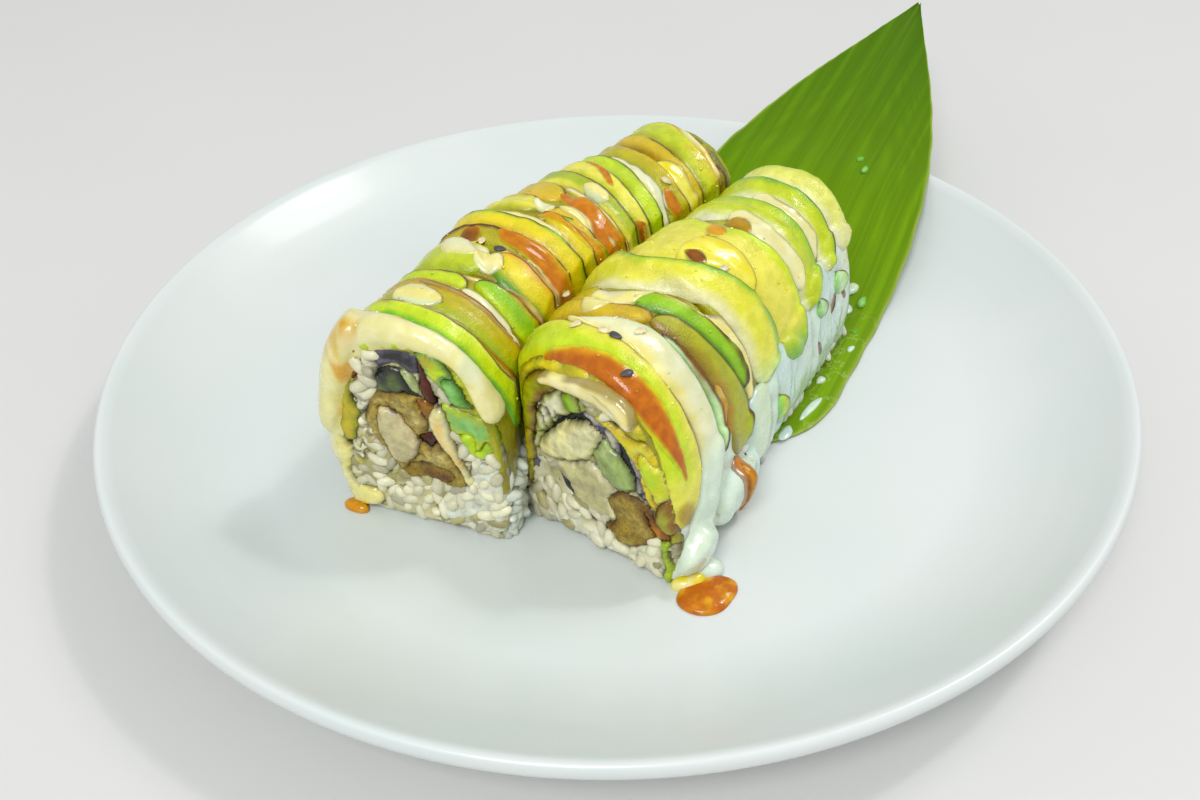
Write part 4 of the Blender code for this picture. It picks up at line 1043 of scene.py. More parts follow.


# stains and smears, and one mark of painted shade: along the row, share of the arch, how far they reach along and
# round, mm, colour, strength
stainAndShadeValues = {
    "left": (
        (0.5, 0.39, 4.0, 5.0, "stain", 0.9), (-3.5, 0.34, 3.0, 5.0, "amber", 0.75), (3, 0.33, 3.0, 7.0, "amber", 0.4),
        (-5, 0.23, 2.0, 6.0, "orange", 0.6), (3.5, 0.50, 1.2, 6.0, "stain", 0.6), (5.6, 0.35, 2.4, 4.0, "noriPurple", 0.9), (6, 0.29, 2.0, 9.0, "brown", 0.8), (10, 0.42, 1.8, 6.0, "brown", 0.6),
        (-1, 0.45, 1.0, 8.0, "creamPale", 0.3), (2, 0.66, 3.0, 6.0, "mayoCool", 0.5),
        (112, 0.62, 3.5, 12.0, "amber", 0.45), (118, 0.52, 3.0, 14.0, "brownOrange", 0.5),
    ),
    "right": (
        (5, 0.36, 3.0, 4.0, "brownOrange", 0.5), (20, 0.50, 3.0, 3.0, "stain", 0.4), (22, 0.66, 4.0, 12.0, "brown", 0.35),
        # the narrow brown mark 21 mm along is painted shade in a gap between slices
        (0, 0.80, 4.0, 7.0, "paleYellow", 0.7), (2, 0.85, 4.0, 4.0, "brown", 0.7), (21, 0.60, 1.6, 12.0, "brown", 0.7),
        (25, 0.75, 3.0, 10.0, "brownOrange", 0.5), (62, 0.47, 4.0, 5.0, "orange", 0.55),
        (64, 0.40, 3.0, 5.0, "amber", 0.5), (98, 0.72, 5.0, 12.0, "creamPale", 0.6),
    ),
}


coverValues = {
    "feet": (0.115, 0.885), "outer": -1.1, "inner": -5.6, "rows": 96, "columns": 9, "ripple": 0.5,
    # dark olive and brown tones: painted shade where the gaps between slices show this shell
    "tones": ("oliveDark", "olive", "brown"),
}


def makeCoverBase(build, row, index):
    # the avocado and sauce under the slices of one piece: a closed arch-shaped shell, dark olive and brown so that the
    # gaps between the slices show painted shade
    values = coverValues
    near, far = row.cuts[index] + 0.25, row.cuts[index + 1] - 0.25
    if index == 0:
        near = -0.4
    if index == len(row.cuts) - 2:
        far = row.length + 0.4
    seedCount[0] += 7
    seed = seedCount[0]
    u = np.linspace(values["feet"][0], values["feet"][1], values["rows"])[:, None]
    outerPath = near + (far - near) * (1 - np.cos(np.linspace(0, pi, values["columns"]))) / 2
    path = np.r_[outerPath, far, (near + far) / 2, near][None, :]
    height = np.r_[np.full(values["columns"], values["outer"]), [values["inner"]] * 3][None, :]
    roundEdge = np.r_[0.7, np.zeros(values["columns"] - 2), 0.7, 0, 0, 0][None, :]
    noise = cloud(np.stack([path + 0 * u, u * archLength + 0 * path], -1), 4.0, seed) * values["ripple"]
    share = u + 0 * path
    across, up = row.arch(np.clip(path + 0 * u, 0, row.length), share, height + noise * (height > -3) - roundEdge)
    points = row.place(path + 0 * u + cloud(np.stack([share * archLength, height + 0 * u], -1), 3, seed) * 0.5,
                       across, up)
    deep, mid, dark = [paint(name) for name in values["tones"]]
    mixed = smoothStep(cloud(points, 5, seed + 1), -0.25, 0.25)[..., None]
    tone = deep * (1 - mixed) + mid * mixed
    low = smoothStep(cloud(points, 3, seed + 2), 0.1, 0.4)[..., None] * 0.6
    tone = tone * (1 - low) + dark * low
    size = path.shape[1]
    faces = ringFaces(values["rows"], size)
    faces.append(list(range(size)))
    faces.append(list(range((values["rows"] - 1) * size, values["rows"] * size))[::-1])
    build.add(points, faces, tone.reshape(-1, 3))


def pieceIndex(row, stations):
    middle = stations[len(stations) // 2]
    place = (middle[1] + middle[2]) / 2
    return int(np.clip(np.searchsorted(row.cuts[1:], place, side="right"), 0, len(row.cuts) - 2))


def dressRow(row):
    title = row.name.title()
    row.base = row.top.copy()
    covers = [Build() for _ in row.cuts[1:]]
    for index, build in enumerate(covers):
        makeCoverBase(build, row, index)
    strips = stripValues[row.name]
    loose = {"cream": Build(), "flow": Build(), "mayo": Build(), "sauce": Build()}
    for kind, names, thick, stations in strips:
        if kind == "flow":
            row.soft = blurred(blurred(row.top, 3, 0), 2, 1)
            layStrip(loose[kind], row, kind, names, thick, stations)
    row.base = row.top.copy()
    for kind, names, thick, stations in strips:
        if kind == "slice":
            layStrip(covers[pieceIndex(row, stations)], row, kind, names, thick, stations)
    for index, build in enumerate(covers):
        node = "avocado_%s_%d" % (row.name, index + 1)
        build.make("avocado%s%d" % (title, index + 1), finishes["avocado"], [node], "avocado")
    for kind, names, thick, stations in strips:
        if kind not in ("slice", "flow"):
            row.soft = blurred(blurred(row.top, 3, 0), 2, 1)
            layStrip(loose[kind], row, kind, names, thick, stations)
    loose["mayo"].make("mayonnaise" + title, finishes["cream"], ["mayonnaise_" + row.name], "mayonnaise")
    loose["cream"].make("creamSauce" + title, finishes["cream"])
    if loose["flow"].count:
        loose["flow"].make("creamRun" + title, finishes["cream"])
    loose["sauce"].make("orangeSauce" + title, finishes["sauce"])
    row.soft = blurred(blurred(row.top, 3, 0), 2, 1)


for name in rows:
    dressRow(rows[name])
print("covers laid")


riceValues = {
    "ringSteps": 56, "faceRings": 9, "sideSteps": 8, "relief": 1.3, "shrink": 0.9,
    "grain": (6.0, 2.9), "grainRings": 7, "grainSides": 9,
}
# where the nori tube of each end piece runs: points round it, across and up
tubeValues = {
    "left_1": ((9, 30), (8, 38), (5, 44), (1, 47.6), (-4, 46.6), (-7.2, 42), (-8, 35), (-9.5, 28),
               (-8.5, 20), (-4, 14.6), (3, 14.4), (7.4, 20)),
    "left_8": ((13, 24), (11, 32), (4, 37), (-4, 37), (-11, 32), (-13, 24), (-11, 16), (-4, 11), (4, 11), (11, 16)),
    "right_1": ((17.6, 14), (15.4, 22), (12.4, 29), (8, 34.6), (2, 37.4), (-4, 37.2), (-9.4, 33), (-12, 26),
                (-10.6, 19), (-7.4, 12.6), (-1, 8.6), (7, 7), (14, 7.6)),
    "right_7": ((12, 22), (10, 30), (4, 35), (-4, 35), (-10, 30), (-12, 22), (-10, 14), (-4, 9.6), (4, 9.6), (10, 14)),
}


def closedCurve(points, count):
    # a smooth closed curve through points, evenly stepped
    points = np.array(points, float)
    n = len(points)
    t = np.arange(count * 4) / (count * 4) * n
    i = t.astype(int)
    f = (t - i)[:, None]
    a, b, c, d = [points[(i + k) % n] for k in (-1, 0, 1, 2)]
    fine = 0.5 * (2 * b + (c - a) * f + (2 * a - 5 * b + 4 * c - d) * f ** 2 + (3 * b - a - 3 * c + d) * f ** 3)
    steps = np.hypot(*(np.roll(fine, -1, 0) - fine).T)
    length = np.r_[0, np.cumsum(steps)]
    wanted = np.arange(count) / count * length[-1]
    fine = np.r_[fine, fine[:1]]
    return np.stack([np.interp(wanted, length, fine[:, k]) for k in (0, 1)], -1)


def byAngle(curve, middle, count):
    # the same closed outline, one point for each of count directions from the middle
    rel = curve - middle
    angle = np.arctan2(rel[:, 1], rel[:, 0])
    order = np.argsort(angle)
    angle = angle[order]
    radius = np.hypot(rel[:, 0], rel[:, 1])[order]
    wanted = (np.arange(count) / count * 2 * pi + pi) % (2 * pi) - pi
    radius = np.interp(wanted, np.r_[angle - 2 * pi, angle, angle + 2 * pi], np.tile(radius, 3))
    return middle + np.stack([np.cos(wanted), np.sin(wanted)], -1) * radius[:, None]


def riceHeight(row, share):
    # the rice stands just inside the cover, and comes out to the arch below the cover's feet
    low, high = coverValues["feet"]
    feet = smoothStep(share, high - 0.02, high + 0.03) + smoothStep(-share, -low - 0.02, -low + 0.03)
    return -7.6 + 6.0 * feet


def makeRice(row, index):
    values = riceValues
    key = "%s_%d" % (row.name, index + 1)
    node = "rice_" + key
    near, far = row.cuts[index] + 0.3, row.cuts[index + 1] - 0.3
    ends = [index == 0, index == len(row.cuts) - 2]
    fine = any(ends)
    steps = values["ringSteps"] * (3 if fine else 1)
    rings = values["faceRings"] * (3 if fine else 1)
    tube = tubeValues.get(key)
    middle = np.mean(tube, 0) if tube else np.array([0.0, 22.0])
    share = np.linspace(0, 1, 81)
    stages = []
    for k in range(rings + 1):
        stages.append((near, k / rings, -1))
    for k in range(1, values["sideSteps"]):
        stages.append((near + (far - near) * k / values["sideSteps"], 1.0, 0))
    for k in range(rings, -1, -1):
        stages.append((far, k / rings, 1))
    loops = []
    for distance, out, sign in stages:
        across, up = row.arch(np.full(81, float(distance)), share, riceHeight(row, share))
        base = np.linspace(across[-1], across[0], 30)[1:-1]
        outline = np.r_[np.stack([across, up], -1), np.stack([base, base * 0 + 0.1], -1)]
        outer = byAngle(outline, middle, steps)
        inner = byAngle(closedCurve(tube, 120), middle, steps) if tube else middle + (outer - middle) * 0.02
        flat = inner + (outer - inner) * out
        points = row.place(np.full(steps, float(distance)), flat[:, 0], flat[:, 1])
        rough = cloud(points, 3.4, 5) + 0.6 * cloud(points, 1.7, 6)
        away = row.forward(np.full(steps, float(distance))) * sign
        strength = values["relief"] * (1.25 if fine else 0.7)
        points = points + away * (rough * strength)[:, None] * (0.3 + 0.7 * min(1, 4 * out * (1.04 - out) + 0.3))
        if out > 0.6:
            centre = row.place(np.full(steps, float(distance)), middle[0], middle[1])
            radial = points - centre
            radial /= np.linalg.norm(radial, axis=1)[:, None]
            points = points + radial * (rough * 0.8 * out)[:, None]
        points[:, 2] = np.maximum(points[:, 2], sectionValues["floor"] + 0.05)
        loops.append(points)
    count = len(loops)
    points = np.concatenate(loops)
    faces = ringFaces(count, steps, closed=bool(tube), flip=True)
    if not tube:
        for i, flip in ((0, False), (count - 1, True)):
            ring = list(range(i * steps, (i + 1) * steps))
            faces.append(ring[::-1] if flip else ring)
    tint = smoothStep(cloud(points, 6, 8), -0.2, 0.3)[:, None]
    tone = paint("rice") * (1 - tint) + paint("riceShade") * tint
    # painted shade: the recessed parts of the rice relief are darkened
    hollow = smoothStep(-(cloud(points, 3.4, 5) + 0.6 * cloud(points, 1.7, 6)), 0.05, 0.36)[:, None] * 0.7
    tone = tone * (1 - hollow) + paint("riceShade") * 0.45 * hollow
    build = Build()
    build.add(points, faces, tone)
    title = "rice%s%d" % (row.name.title(), index + 1)
    build.make(title, finishes["rice"], [node], "rice")


def grainShape():
    # one grain along x: rings of a slightly bent spindle
    long, wide = riceValues["grain"]
    sides = riceValues["grainSides"]
    places = np.sin(np.linspace(-pi / 2, pi / 2, riceValues["grainRings"] + 2))[1:-1]
    angle = np.arange(sides) / sides * 2 * pi
    rings = []
    for place in places:
        r = wide / 2 * (1 - abs(place) ** 2.4) ** 0.5
        rings.append(np.stack([angle * 0 + place * long / 2, r * np.cos(angle),
                               r * 0.86 * np.sin(angle) + 0.25 * (1 - place ** 2)], -1))
    points = np.concatenate(rings + [[[-long / 2, 0, 0]], [[long / 2, 0, 0]]])
    faces = ringFaces(len(rings), sides, flip=True)
    first = len(points) - 2
    last = (len(rings) - 1) * sides
    faces += [[first, j, (j + 1) % sides] for j in range(sides)]
    faces += [[first + 1, last + (j + 1) % sides, last + j] for j in range(sides)]
    return points, faces


grainPoints, grainFaces = grainShape()


def addGrain(build, centre, normal, lean, tone, size=1.0):
    # a grain lying on a surface, turned at random and tipped by lean
    normal = normal / np.linalg.norm(normal)
    side = rng.normal(size=3)
    first = side - normal * side.dot(normal) * (1 - lean)
    first /= np.linalg.norm(first)
    second = np.cross(normal, first)
    second /= np.linalg.norm(second)
    third = np.cross(first, second)
    scale = np.array([rng.uniform(0.82, 1.1), rng.uniform(0.85, 1.12), rng.uniform(0.85, 1.12)]) * size
    points = (grainPoints * scale) @ np.array([first, second, third]) + centre
    points[:, 2] = np.maximum(points[:, 2], sectionValues["floor"] - 0.3)
    shade = rng.uniform(0.76, 1.1)
    build.add(points, grainFaces, np.clip(tone * shade, 0, 1))


def scatterGrains(row):
    build = Build()
    length = row.length
    # the two ends, wherever rice shows
    for distance, sign, tints in ((0.0, -1, ("rice", "riceShade", "riceGrey")), (length, 1, ("rice", "riceShade"))):
        xs, ys, bare, height = row.bareRice[sign]
        spots = np.argwhere(bare)
        placed = []
        for i, j in spots[rng.permutation(len(spots))]:
            if any(hypot(xs[i] - other[0], ys[j] - other[1]) < 2.5 for other in placed):
                continue
            placed.append((xs[i], ys[j]))
            lift = height[i, j] - rng.uniform(0.75, 1.25)
            point = row.place(np.array(distance), xs[i], ys[j]) + sign * lift * row.forward(distance)
            tone = paint(tints[rng.integers(len(tints))] if rng.uniform() < 0.4 else "rice")
            normal = row.forward(distance) * sign + rng.normal(size=3) * 0.12
            addGrain(build, point, normal, rng.uniform(0.0, 0.3), tone)
    # the two long sides below the cover; grains on the right side take a bluish tone, painted cool shade
    for low, high in ((0.0, coverValues["feet"][0] + 0.01), (coverValues["feet"][1] - 0.01, 1.0)):
        placed = []
        for _ in range(4200):
            spot = np.array([rng.uniform(0.5, length - 0.5), rng.uniform(low, high)])
            flat = np.array([spot[0], spot[1] * archLength])
            if any(abs(flat[0] - other[0]) < 3 and hypot(*(flat - other)) < 2.35 for other in placed):
                continue
            placed.append(flat)
            if row.topAt(spot[0], spot[1]) > -0.3:
                continue
            point = row.skin(spot[0], spot[1], rng.uniform(-2.0, -1.2))
            outward = row.skin(spot[0], spot[1], 1.0) - row.skin(spot[0], spot[1], -1.0)
            addGrain(build, point, outward, rng.uniform(0.0, 0.35), paint("rice" if low == 0 else "riceBlue"))
    build.make("riceGrains" + row.name.title(), finishes["rice"])


for row in rows.values():
    for index in range(len(row.cuts) - 1):
        makeRice(row, index)
print("rice pressed")


# what shows on the two front cuts, later ones over earlier: piece, finish, tones, how proud and rough, cracks,
# outline across and up, mm
cutValues = {
    "left_1": (
        ("rim", "avocado", "lime oliveYellow olive", 0.8, 0.7, 0, None),
        ("rice", "rice", "riceBase riceShade", 0.3, 0.9, 1, "inner"),
        ("rice", "rice", "riceYellow riceShade rice", 0.2, 0.9, 1,
         ((-16.5, 23.5), (-10.5, 25), (-8.5, 21), (-5.5, 16), (-0.5, 13.5), (-5, 10), (-11.5, 7),
          (-18, 6), (-19.5, 10), (-18.5, 17))),
        ("rice", "rice", "riceWhite riceBlue riceWhite", 0.6, 0.8, 1,
         ((14, 26.5), (19.5, 28), (25.5, 35.5), (27, 25.5), (26, 13), (22, 4), (11.5, 0.5), (3.5, 4.5),
          (7, 12), (13, 16))),
        ("mash", "avocado", "mash greenPale lime", 0.7, 1, 0,
         ((8.5, 38.5), (14.5, 37), (19.5, 38), (25, 40.5), (25.5, 35.5), (23, 30.5), (19, 27),
          (14.5, 25.5), (12, 29.5), (9, 32))),
        ("mash", "avocado", "limeGreen green leafGreen", 0.9, 0.8, 0,
         ((22, 42.5), (26, 45), (28, 42), (27, 37), (23, 36), (21, 38.5))),
        ("mash", "avocado", "green leafGreen lime", 1, 0.7, 0,
         ((11.5, 30.5), (15, 30.5), (16, 27), (18.5, 30), (19.5, 28), (17, 25), (14.5, 25.5),
          (12.5, 27.5))),
        ("film", "cream", "creamPale cream cream", 1.1, 0.5, 0,
         ((-23.5, 51), (-18.5, 51), (-18, 44.5), (-17.5, 42), (-18, 36.5), (-18.5, 31), (-19, 25),
          (-18.5, 20.5), (-17.5, 17), (-19, 12), (-18.5, 8), (-12, 7), (-12.5, 2), (-23.5, -1.5),
          (-24, 5.5), (-26, 21), (-26.5, 33))),
        ("olive", "avocado", "gold oliveYellow olive", 0.7, 0.7, 0,
         ((-16.5, 46), (-14.5, 44.5), (-14.5, 40), (-15, 35.5), (-15, 32), (-13.5, 30), (-14.5, 27),
          (-15, 24), (-16.5, 20.5), (-18.5, 20.5), (-19.5, 22.5), (-19, 27.5), (-18.5, 32), (-17.5, 37),
          (-17.5, 41.5))),
        ("olive", "avocado", "oliveDark oliveYellow brown", 1, 0.7, 0,
         ((-19.5, 48.5), (-14.5, 50), (-11, 49.5), (-10.5, 47.5), (-13.5, 46), (-16.5, 44.5),
          (-19, 44.5))),
        ("olive", "sauce", "brown brownOrange brown", 0.2, 0.3, 0,
         ((-14.5, 42.5), (-11, 43), (-12, 41), (-14.5, 39.5))),
        ("rice", "rice", "riceGrey rice riceGrey", 0.8, 0.9, 1,
         ((-13.5, 46), (-10.5, 47.5), (-7, 48.5), (-6, 46.5), (-7.5, 42.5), (-9, 37.5), (-11, 32.5),
          (-13, 30.5), (-14.5, 33), (-14.5, 36.5), (-11.5, 41.5), (-13, 43))),
        ("nori", "nori", "noriPurple nori noriPurple", 0.5, 0.7, 0,
         ((-7, 49), (-2.5, 50), (2.5, 50), (3.5, 48), (3.5, 45.5), (1.5, 45), (0, 46), (-2, 46.5),
          (-5, 46), (-7, 45))),
        ("nori", "nori", "nori", 0, 0.3, 0,
         ((-7.5, 44.5), (-7, 44), (-8.5, 38), (-9, 36.5), (-8, 35.5), (-9.5, 33.5), (-12.5, 30),
          (-14, 29), (-10.5, 33.5), (-9.5, 36.5))),
        ("cucumber", "cucumber", "cucumberDark noriGreen nori", 0.9, 0.6, 0,
         ((-7.5, 43), (-5.5, 45), (-3, 45.5), (-1.5, 45), (0.5, 43), (0.5, 39.5), (-2.5, 38), (-6, 38),
          (-8.5, 38))),
        ("cucumber", "cucumber", "cucumberPale cucumber cucumberPale", 1, 0.4, 0,
         ((-1.5, 45.5), (1, 45), (2.5, 43), (3, 39.5), (1.5, 39.5), (0.5, 41), (-0.5, 43.5))),
        ("nori", "nori", "nori", 0, 0.3, 0,
         ((-2.5, 38), (0.5, 39.5), (4, 38.5), (7, 38), (6.5, 37.5), (3, 37.5), (0, 38.5))),
        ("maroon", "sauce", "maroon brown maroon", 0.6, 0.5, 0,
         ((3.5, 48.5), (6, 48), (5.5, 44.5), (6, 41.5), (7, 38), (5.5, 37.5), (4, 38.5), (3, 41),
          (3.5, 44.5))),
        ("tempura", "batter", "batterPale batter batterGold", 1, 1.6, 0,
         ((-9, 36.5), (-5.5, 38), (0, 38.5), (5, 38), (5.5, 35.5), (3.5, 29), (6, 26), (10.5, 21.5),
          (13, 16.5), (9.5, 13.5), (4.5, 14), (0.5, 14.5), (-3, 14), (-6.5, 18.5), (-9, 22),
          (-10.5, 25), (-12, 29), (-11, 32))),
        ("tempura", "batter", "batterGold batterBrown batterGold", 0.8, 1.2, 0,
         ((-4, 16.5), (1.5, 19), (5, 19), (9, 18), (7, 14.5), (2, 14.5), (-2.5, 14))),
        ("shrimp", "shrimp", "shrimpPale shrimp shrimpPink", 2, 0.5, 0,
         ((-7.5, 33.5), (-4.5, 34), (-1.5, 31.5), (1, 27.5), (1, 22.5), (-2.5, 18.5), (-6, 20),
          (-7.5, 24), (-8.5, 28.5))),
        ("maroon", "sauce", "brownOrange orange brown", 0.8, 0.5, 0,
         ((2, 38), (5.5, 37.5), (5.5, 35), (4.5, 31.5), (3, 33.5), (2.5, 35.5))),
        ("maroon", "sauce", "maroon brown maroon", 0.3, 0.5, 0,
         ((1.5, 27.5), (3.5, 29), (5.5, 28), (5, 25), (3, 25))),
        ("cream", "cream", "creamPale peach creamPale", 1.2, 0.8, 0,
         ((6, 36.5), (8.5, 36.5), (9.5, 32), (10, 26.5), (12, 22), (14, 17), (12.5, 15.5), (10.5, 20.5),
          (6.5, 26.5), (4.5, 30.5), (4.5, 34))),
        ("stick", "avocado", "oliveYellow lime teal", 1.2, 0.6, 0,
         ((4, 52.5), (7.5, 51.5), (10.5, 48), (13, 44.5), (15.5, 40.5), (15.5, 39), (12.5, 39.5),
          (10, 40.5), (8, 43), (5.5, 46), (4, 49))),
        ("stick", "avocado", "teal greenPale greenDark", 1.5, 0.4, 0,
         ((9, 45), (11.5, 46), (13.5, 43.5), (15.5, 40), (15.5, 39), (12.5, 39.5), (10, 40.5))),
        # a recessed patch coloured like nori: painted shade in a gap of the rice
        ("hollow", "nori", "nori", -1.2, 0.3, 0,
         ((21.5, 35.5), (23.5, 36), (24.5, 33.5), (24, 26), (22.5, 21.5), (22, 24), (22.5, 30))),
    ),
    "right_1": (
        ("rim", "avocado", "yellow oliveYellow olive", 0.8, 0.8, 0, None),
        ("rice", "rice", "riceYellowPale rice riceShade", 0.4, 0.9, 1, "inner"),
        ("olive", "avocado", "olive oliveDark brown", 1, 0.6, 0,
         ((-21.5, 32.5), (-15.5, 42.5), (-10, 46), (-7, 43.5), (-11.5, 39), (-15, 34.5), (-15.5, 28.5),
          (-17, 24.5), (-20, 26))),
        ("olive", "avocado", "gold oliveYellow oliveDark", 1.1, 0.6, 0,
         ((-23, 26), (-19.5, 26), (-16.5, 25), (-16, 19), (-18, 10.5), (-20, 3.5), (-24.5, 1),
          (-25, 13))),
        ("mash", "rice", "mashPale rice mash", 0.8, 1, 1,
         ((-14.5, 34.5), (-11, 39), (-7, 42.5), (-3.5, 42.5), (-1, 40.5), (1, 39), (-1.5, 37),
          (-5.5, 36), (-10, 31.5), (-13.5, 26), (-14.5, 21.5), (-16.5, 22), (-15.5, 29))),
        ("mash", "avocado", "greenDark leafGreen mash", 1.1, 0.5, 0,
         ((-7.5, 40.5), (-5, 42), (-3, 41), (-1.5, 37.5), (-3.5, 36.5), (-5.5, 37.5))),
        ("film", "rice", "riceGrey riceWhite noriPurple", 0.4, 0.8, 1,
         ((-1, 39.5), (1, 39), (5.5, 37), (10, 34), (13.5, 29.5), (15, 24.5), (15, 21.5), (12, 24),
          (10, 29), (6, 33), (1.5, 35.5), (-2, 36))),
        ("nori", "nori", "nori", -0.2, 0.3, 0,
         ((-10, 32), (-5.5, 36), (-1.5, 37.5), (1.5, 35), (1.5, 34), (-1.5, 36), (-5, 35), (-9, 31.5),
          (-12.5, 26), (-13.5, 25.5))),
        ("nori", "nori", "nori noriPurple", 0, 0.6, 0,
         ((0.5, 35), (2, 36), (3.5, 34.5), (5, 33), (4, 31.5), (2, 33))),
        ("nori", "nori", "nori", 0, 0.4, 0,
         ((8, 34), (9.5, 34.5), (10.5, 31), (12.5, 27), (12, 25.5), (9.5, 29), (8.5, 32))),
        ("cheese", "cheese", "cheese cream cheeseShade", 1.7, 0.7, 0,
         ((-13.5, 25), (-9, 31.5), (-5, 35), (-1.5, 36), (2, 35), (3.5, 33.5), (2, 30.5), (1, 27.5),
          (-2, 24.5), (-6.5, 22.5), (-10, 21.5), (-13, 21.5))),
        ("nori", "nori", "nori", -0.2, 0.3, 0,
         ((-8, 22.5), (-5, 23.5), (-1.5, 25.5), (-2, 24.5), (-5.5, 22.5))),
        ("cucumber", "cucumber", "cucumber cucumberPale cucumber", 1.2, 0.6, 0,
         ((2, 30.5), (3.5, 33.5), (6, 33), (9, 30.5), (12, 26.5), (12.5, 23.5), (10, 22), (6.5, 22),
          (3, 24), (1, 27))),
        ("shrimp", "shrimp", "shrimp cheeseShade cheese", 1.3, 0.9, 0,
         ((-9.5, 21), (-6.5, 22.5), (-1, 24.5), (1.5, 25), (6.5, 22), (7.5, 21), (5, 17.5), (6.5, 14),
          (7.5, 12), (3.5, 11), (-1, 12), (-5, 13.5), (-7.5, 16.5))),
        ("tempura", "batter", "batterGold batter batterBrown", 1.6, 2, 0,
         ((5, 17.5), (7.5, 21), (11, 22), (16, 20.5), (18, 17.5), (18, 13), (14.5, 8), (10.5, 6),
          (6, 6.5), (4, 9), (7, 11.5), (6.5, 14))),
        # two recessed pockets coloured dark like nori: painted shade in gaps of the cut
        ("pocket", "nori", "noriPurple nori", -0.8, 0.8, 0,
         ((-13.5, 16), (-10.5, 17), (-7, 17), (-4.5, 13), (-7, 11), (-10, 11.5), (-12.5, 13))),
        ("pocket", "nori", "noriPurple riceShade", -0.5, 0.8, 0,
         ((-17, 17), (-13, 17.5), (-14.5, 12.5), (-17, 9.5), (-18, 12.5))),
        ("nori", "nori", "nori", 0, 0.4, 0,
         ((-2, 9), (1, 9), (6, 8.5), (7.5, 7.5), (6, 6.5), (1.5, 7), (-1, 7))),
        ("cover", "avocado", "yellow paleYellow gold", 1.2, 0.7, 0,
         ((1, 39), (5.5, 39.5), (11, 38.5), (16, 38), (18.5, 34.5), (18, 32), (14.5, 34.5), (14, 30),
          (18, 26), (21, 23.5), (21, 19.5), (18, 20.5), (15, 23.5), (13.5, 29.5), (10, 34), (5.5, 37))),
        ("cover", "avocado", "lime yellow paleYellow", 1.4, 0.8, 0,
         ((14, 35), (18, 33.5), (21, 32.5), (23, 27.5), (22, 22.5), (19, 22.5), (16, 26), (14, 30))),
        ("cover", "avocado", "olive oliveDark brown", 1.5, 0.8, 0,
         ((19, 22.5), (24.5, 28.5), (27.5, 29.5), (27.5, 24.5), (24.5, 17.5), (21, 15), (18.5, 14.5),
          (18, 17.5))),
        ("cover", "sauce", "brown brownOrange brown", 0.8, 0.8, 0,
         ((14.5, 20), (18, 17.5), (21, 15.5), (22, 14), (19.5, 12), (17.5, 13.5))),
        ("rice", "rice", "riceWhite rice riceShade", 0.8, 1, 1,
         ((-23, 3.5), (-17, 9.5), (-12.5, 6), (-5.5, 7), (-0.5, 7.5), (6, 5.5), (10, 5), (16, 8.5),
          (21.5, 12.5), (24, 12), (21.5, -1), (16, -4), (-3, -5), (-22, -6))),
        ("strip", "avocado", "greenDark oliveGreen limeGreen", 1.6, 0.6, 0,
         ((19.5, 11.5), (22, 14), (22, 9), (23.5, 5), (25, 2), (22, -0.5), (20.5, 1), (21, 6))),
    ),
}
cutValues["left_8"] = (
    ("rim", "avocado", "lime oliveYellow olive", 0.8, 0.8, 0, None),
    ("rice", "rice", "riceBase riceShade", 0.3, 1.0, 1, "inner"),
    ("nori", "nori", "nori noriPurple", 0.3, 0.5, 0, ((14, 24), (12, 32), (4, 38), (-4, 38), (-12, 33), (-14, 24),
                                                     (-12, 15), (-4, 10), (4, 10), (12, 15))),
    ("rice", "rice", "riceYellow riceShade", 0.4, 0.9, 1, ((12.6, 24), (10.6, 31), (4, 36.4), (-4, 36.4), (-10.6, 31.4),
                                                         (-12.6, 24), (-10.6, 16.6), (-4, 11.6), (4, 11.6), (10.6, 16.4))),
    ("tempura", "batter", "batter batterGold", 1.4, 1.6, 0, ((-10.6, 21), (-6, 24), (1, 25.6), (9, 22.6), (11.6, 17.6),
                                                           (6, 12.6), (-3, 12), (-9, 15))),
    ("shrimp", "shrimp", "shrimp shrimpPale shrimpPink", 1.6, 0.6, 0, ((-6, 18), (-2, 21.6), (4, 21), (7, 17.4), (3, 14.6),
                                                                      (-3, 14.4))),
    ("cucumber", "cucumber", "cucumberDark cucumber noriGreen", 1.0, 0.7, 0, ((-10.4, 26), (-8.6, 32), (-3, 35.4),
                                                                             (0.4, 33), (0, 27.4), (-4.6, 25))),
    ("cheese", "cheese", "cheese cream cheeseShade", 1.3, 0.7, 0, ((1.4, 28), (2, 33.4), (5, 35), (10, 31), (11.6, 25),
                                                                  (7.6, 24.4))),
)
cutValues["right_7"] = tuple(
    (group, finish, tones, proud, rough, cracks,
     shape if shape in (None, "inner") else tuple((across * 0.94, up * 0.94) for across, up in shape))
    for group, finish, tones, proud, rough, cracks, shape in cutValues["left_8"])



def insideOutlines(across, up, outline):
    # which points lie inside a closed outline
    a = np.asarray(outline, float)
    b = np.roll(a, -1, 0)
    hits = np.zeros(across.shape, int)
    for (x0, y0), (x1, y1) in zip(a, b):
        if y0 == y1:
            continue
        crosses = (y0 > up) != (y1 > up)
        hits += crosses & (across < x0 + (up - y0) / (y1 - y0) * (x1 - x0))
    return hits % 2 == 1


faceValues = {
    "cell": 0.5, "rearCell": 0.8, "outer": -0.9, "warp": ((5.0, 1.5), (1.8, 0.7)), "dome": 0.55, "groove": 0.35,
    "depth": 3.0, "edge": 2.2, "crack": 0.03,
}
nodeOf = {"nori": "nori", "cucumber": "cucumber", "tempura": "tempura", "shrimp": "shrimp",
          "cheese": "cream_cheese", "stick": "avocado_stick"}
slotOf = {"nori": "nori", "cucumber": "cucumber", "tempura": "tempura", "shrimp": "shrimp",
          "cheese": "cream_cheese", "stick": "avocado", "rice": "rice"}


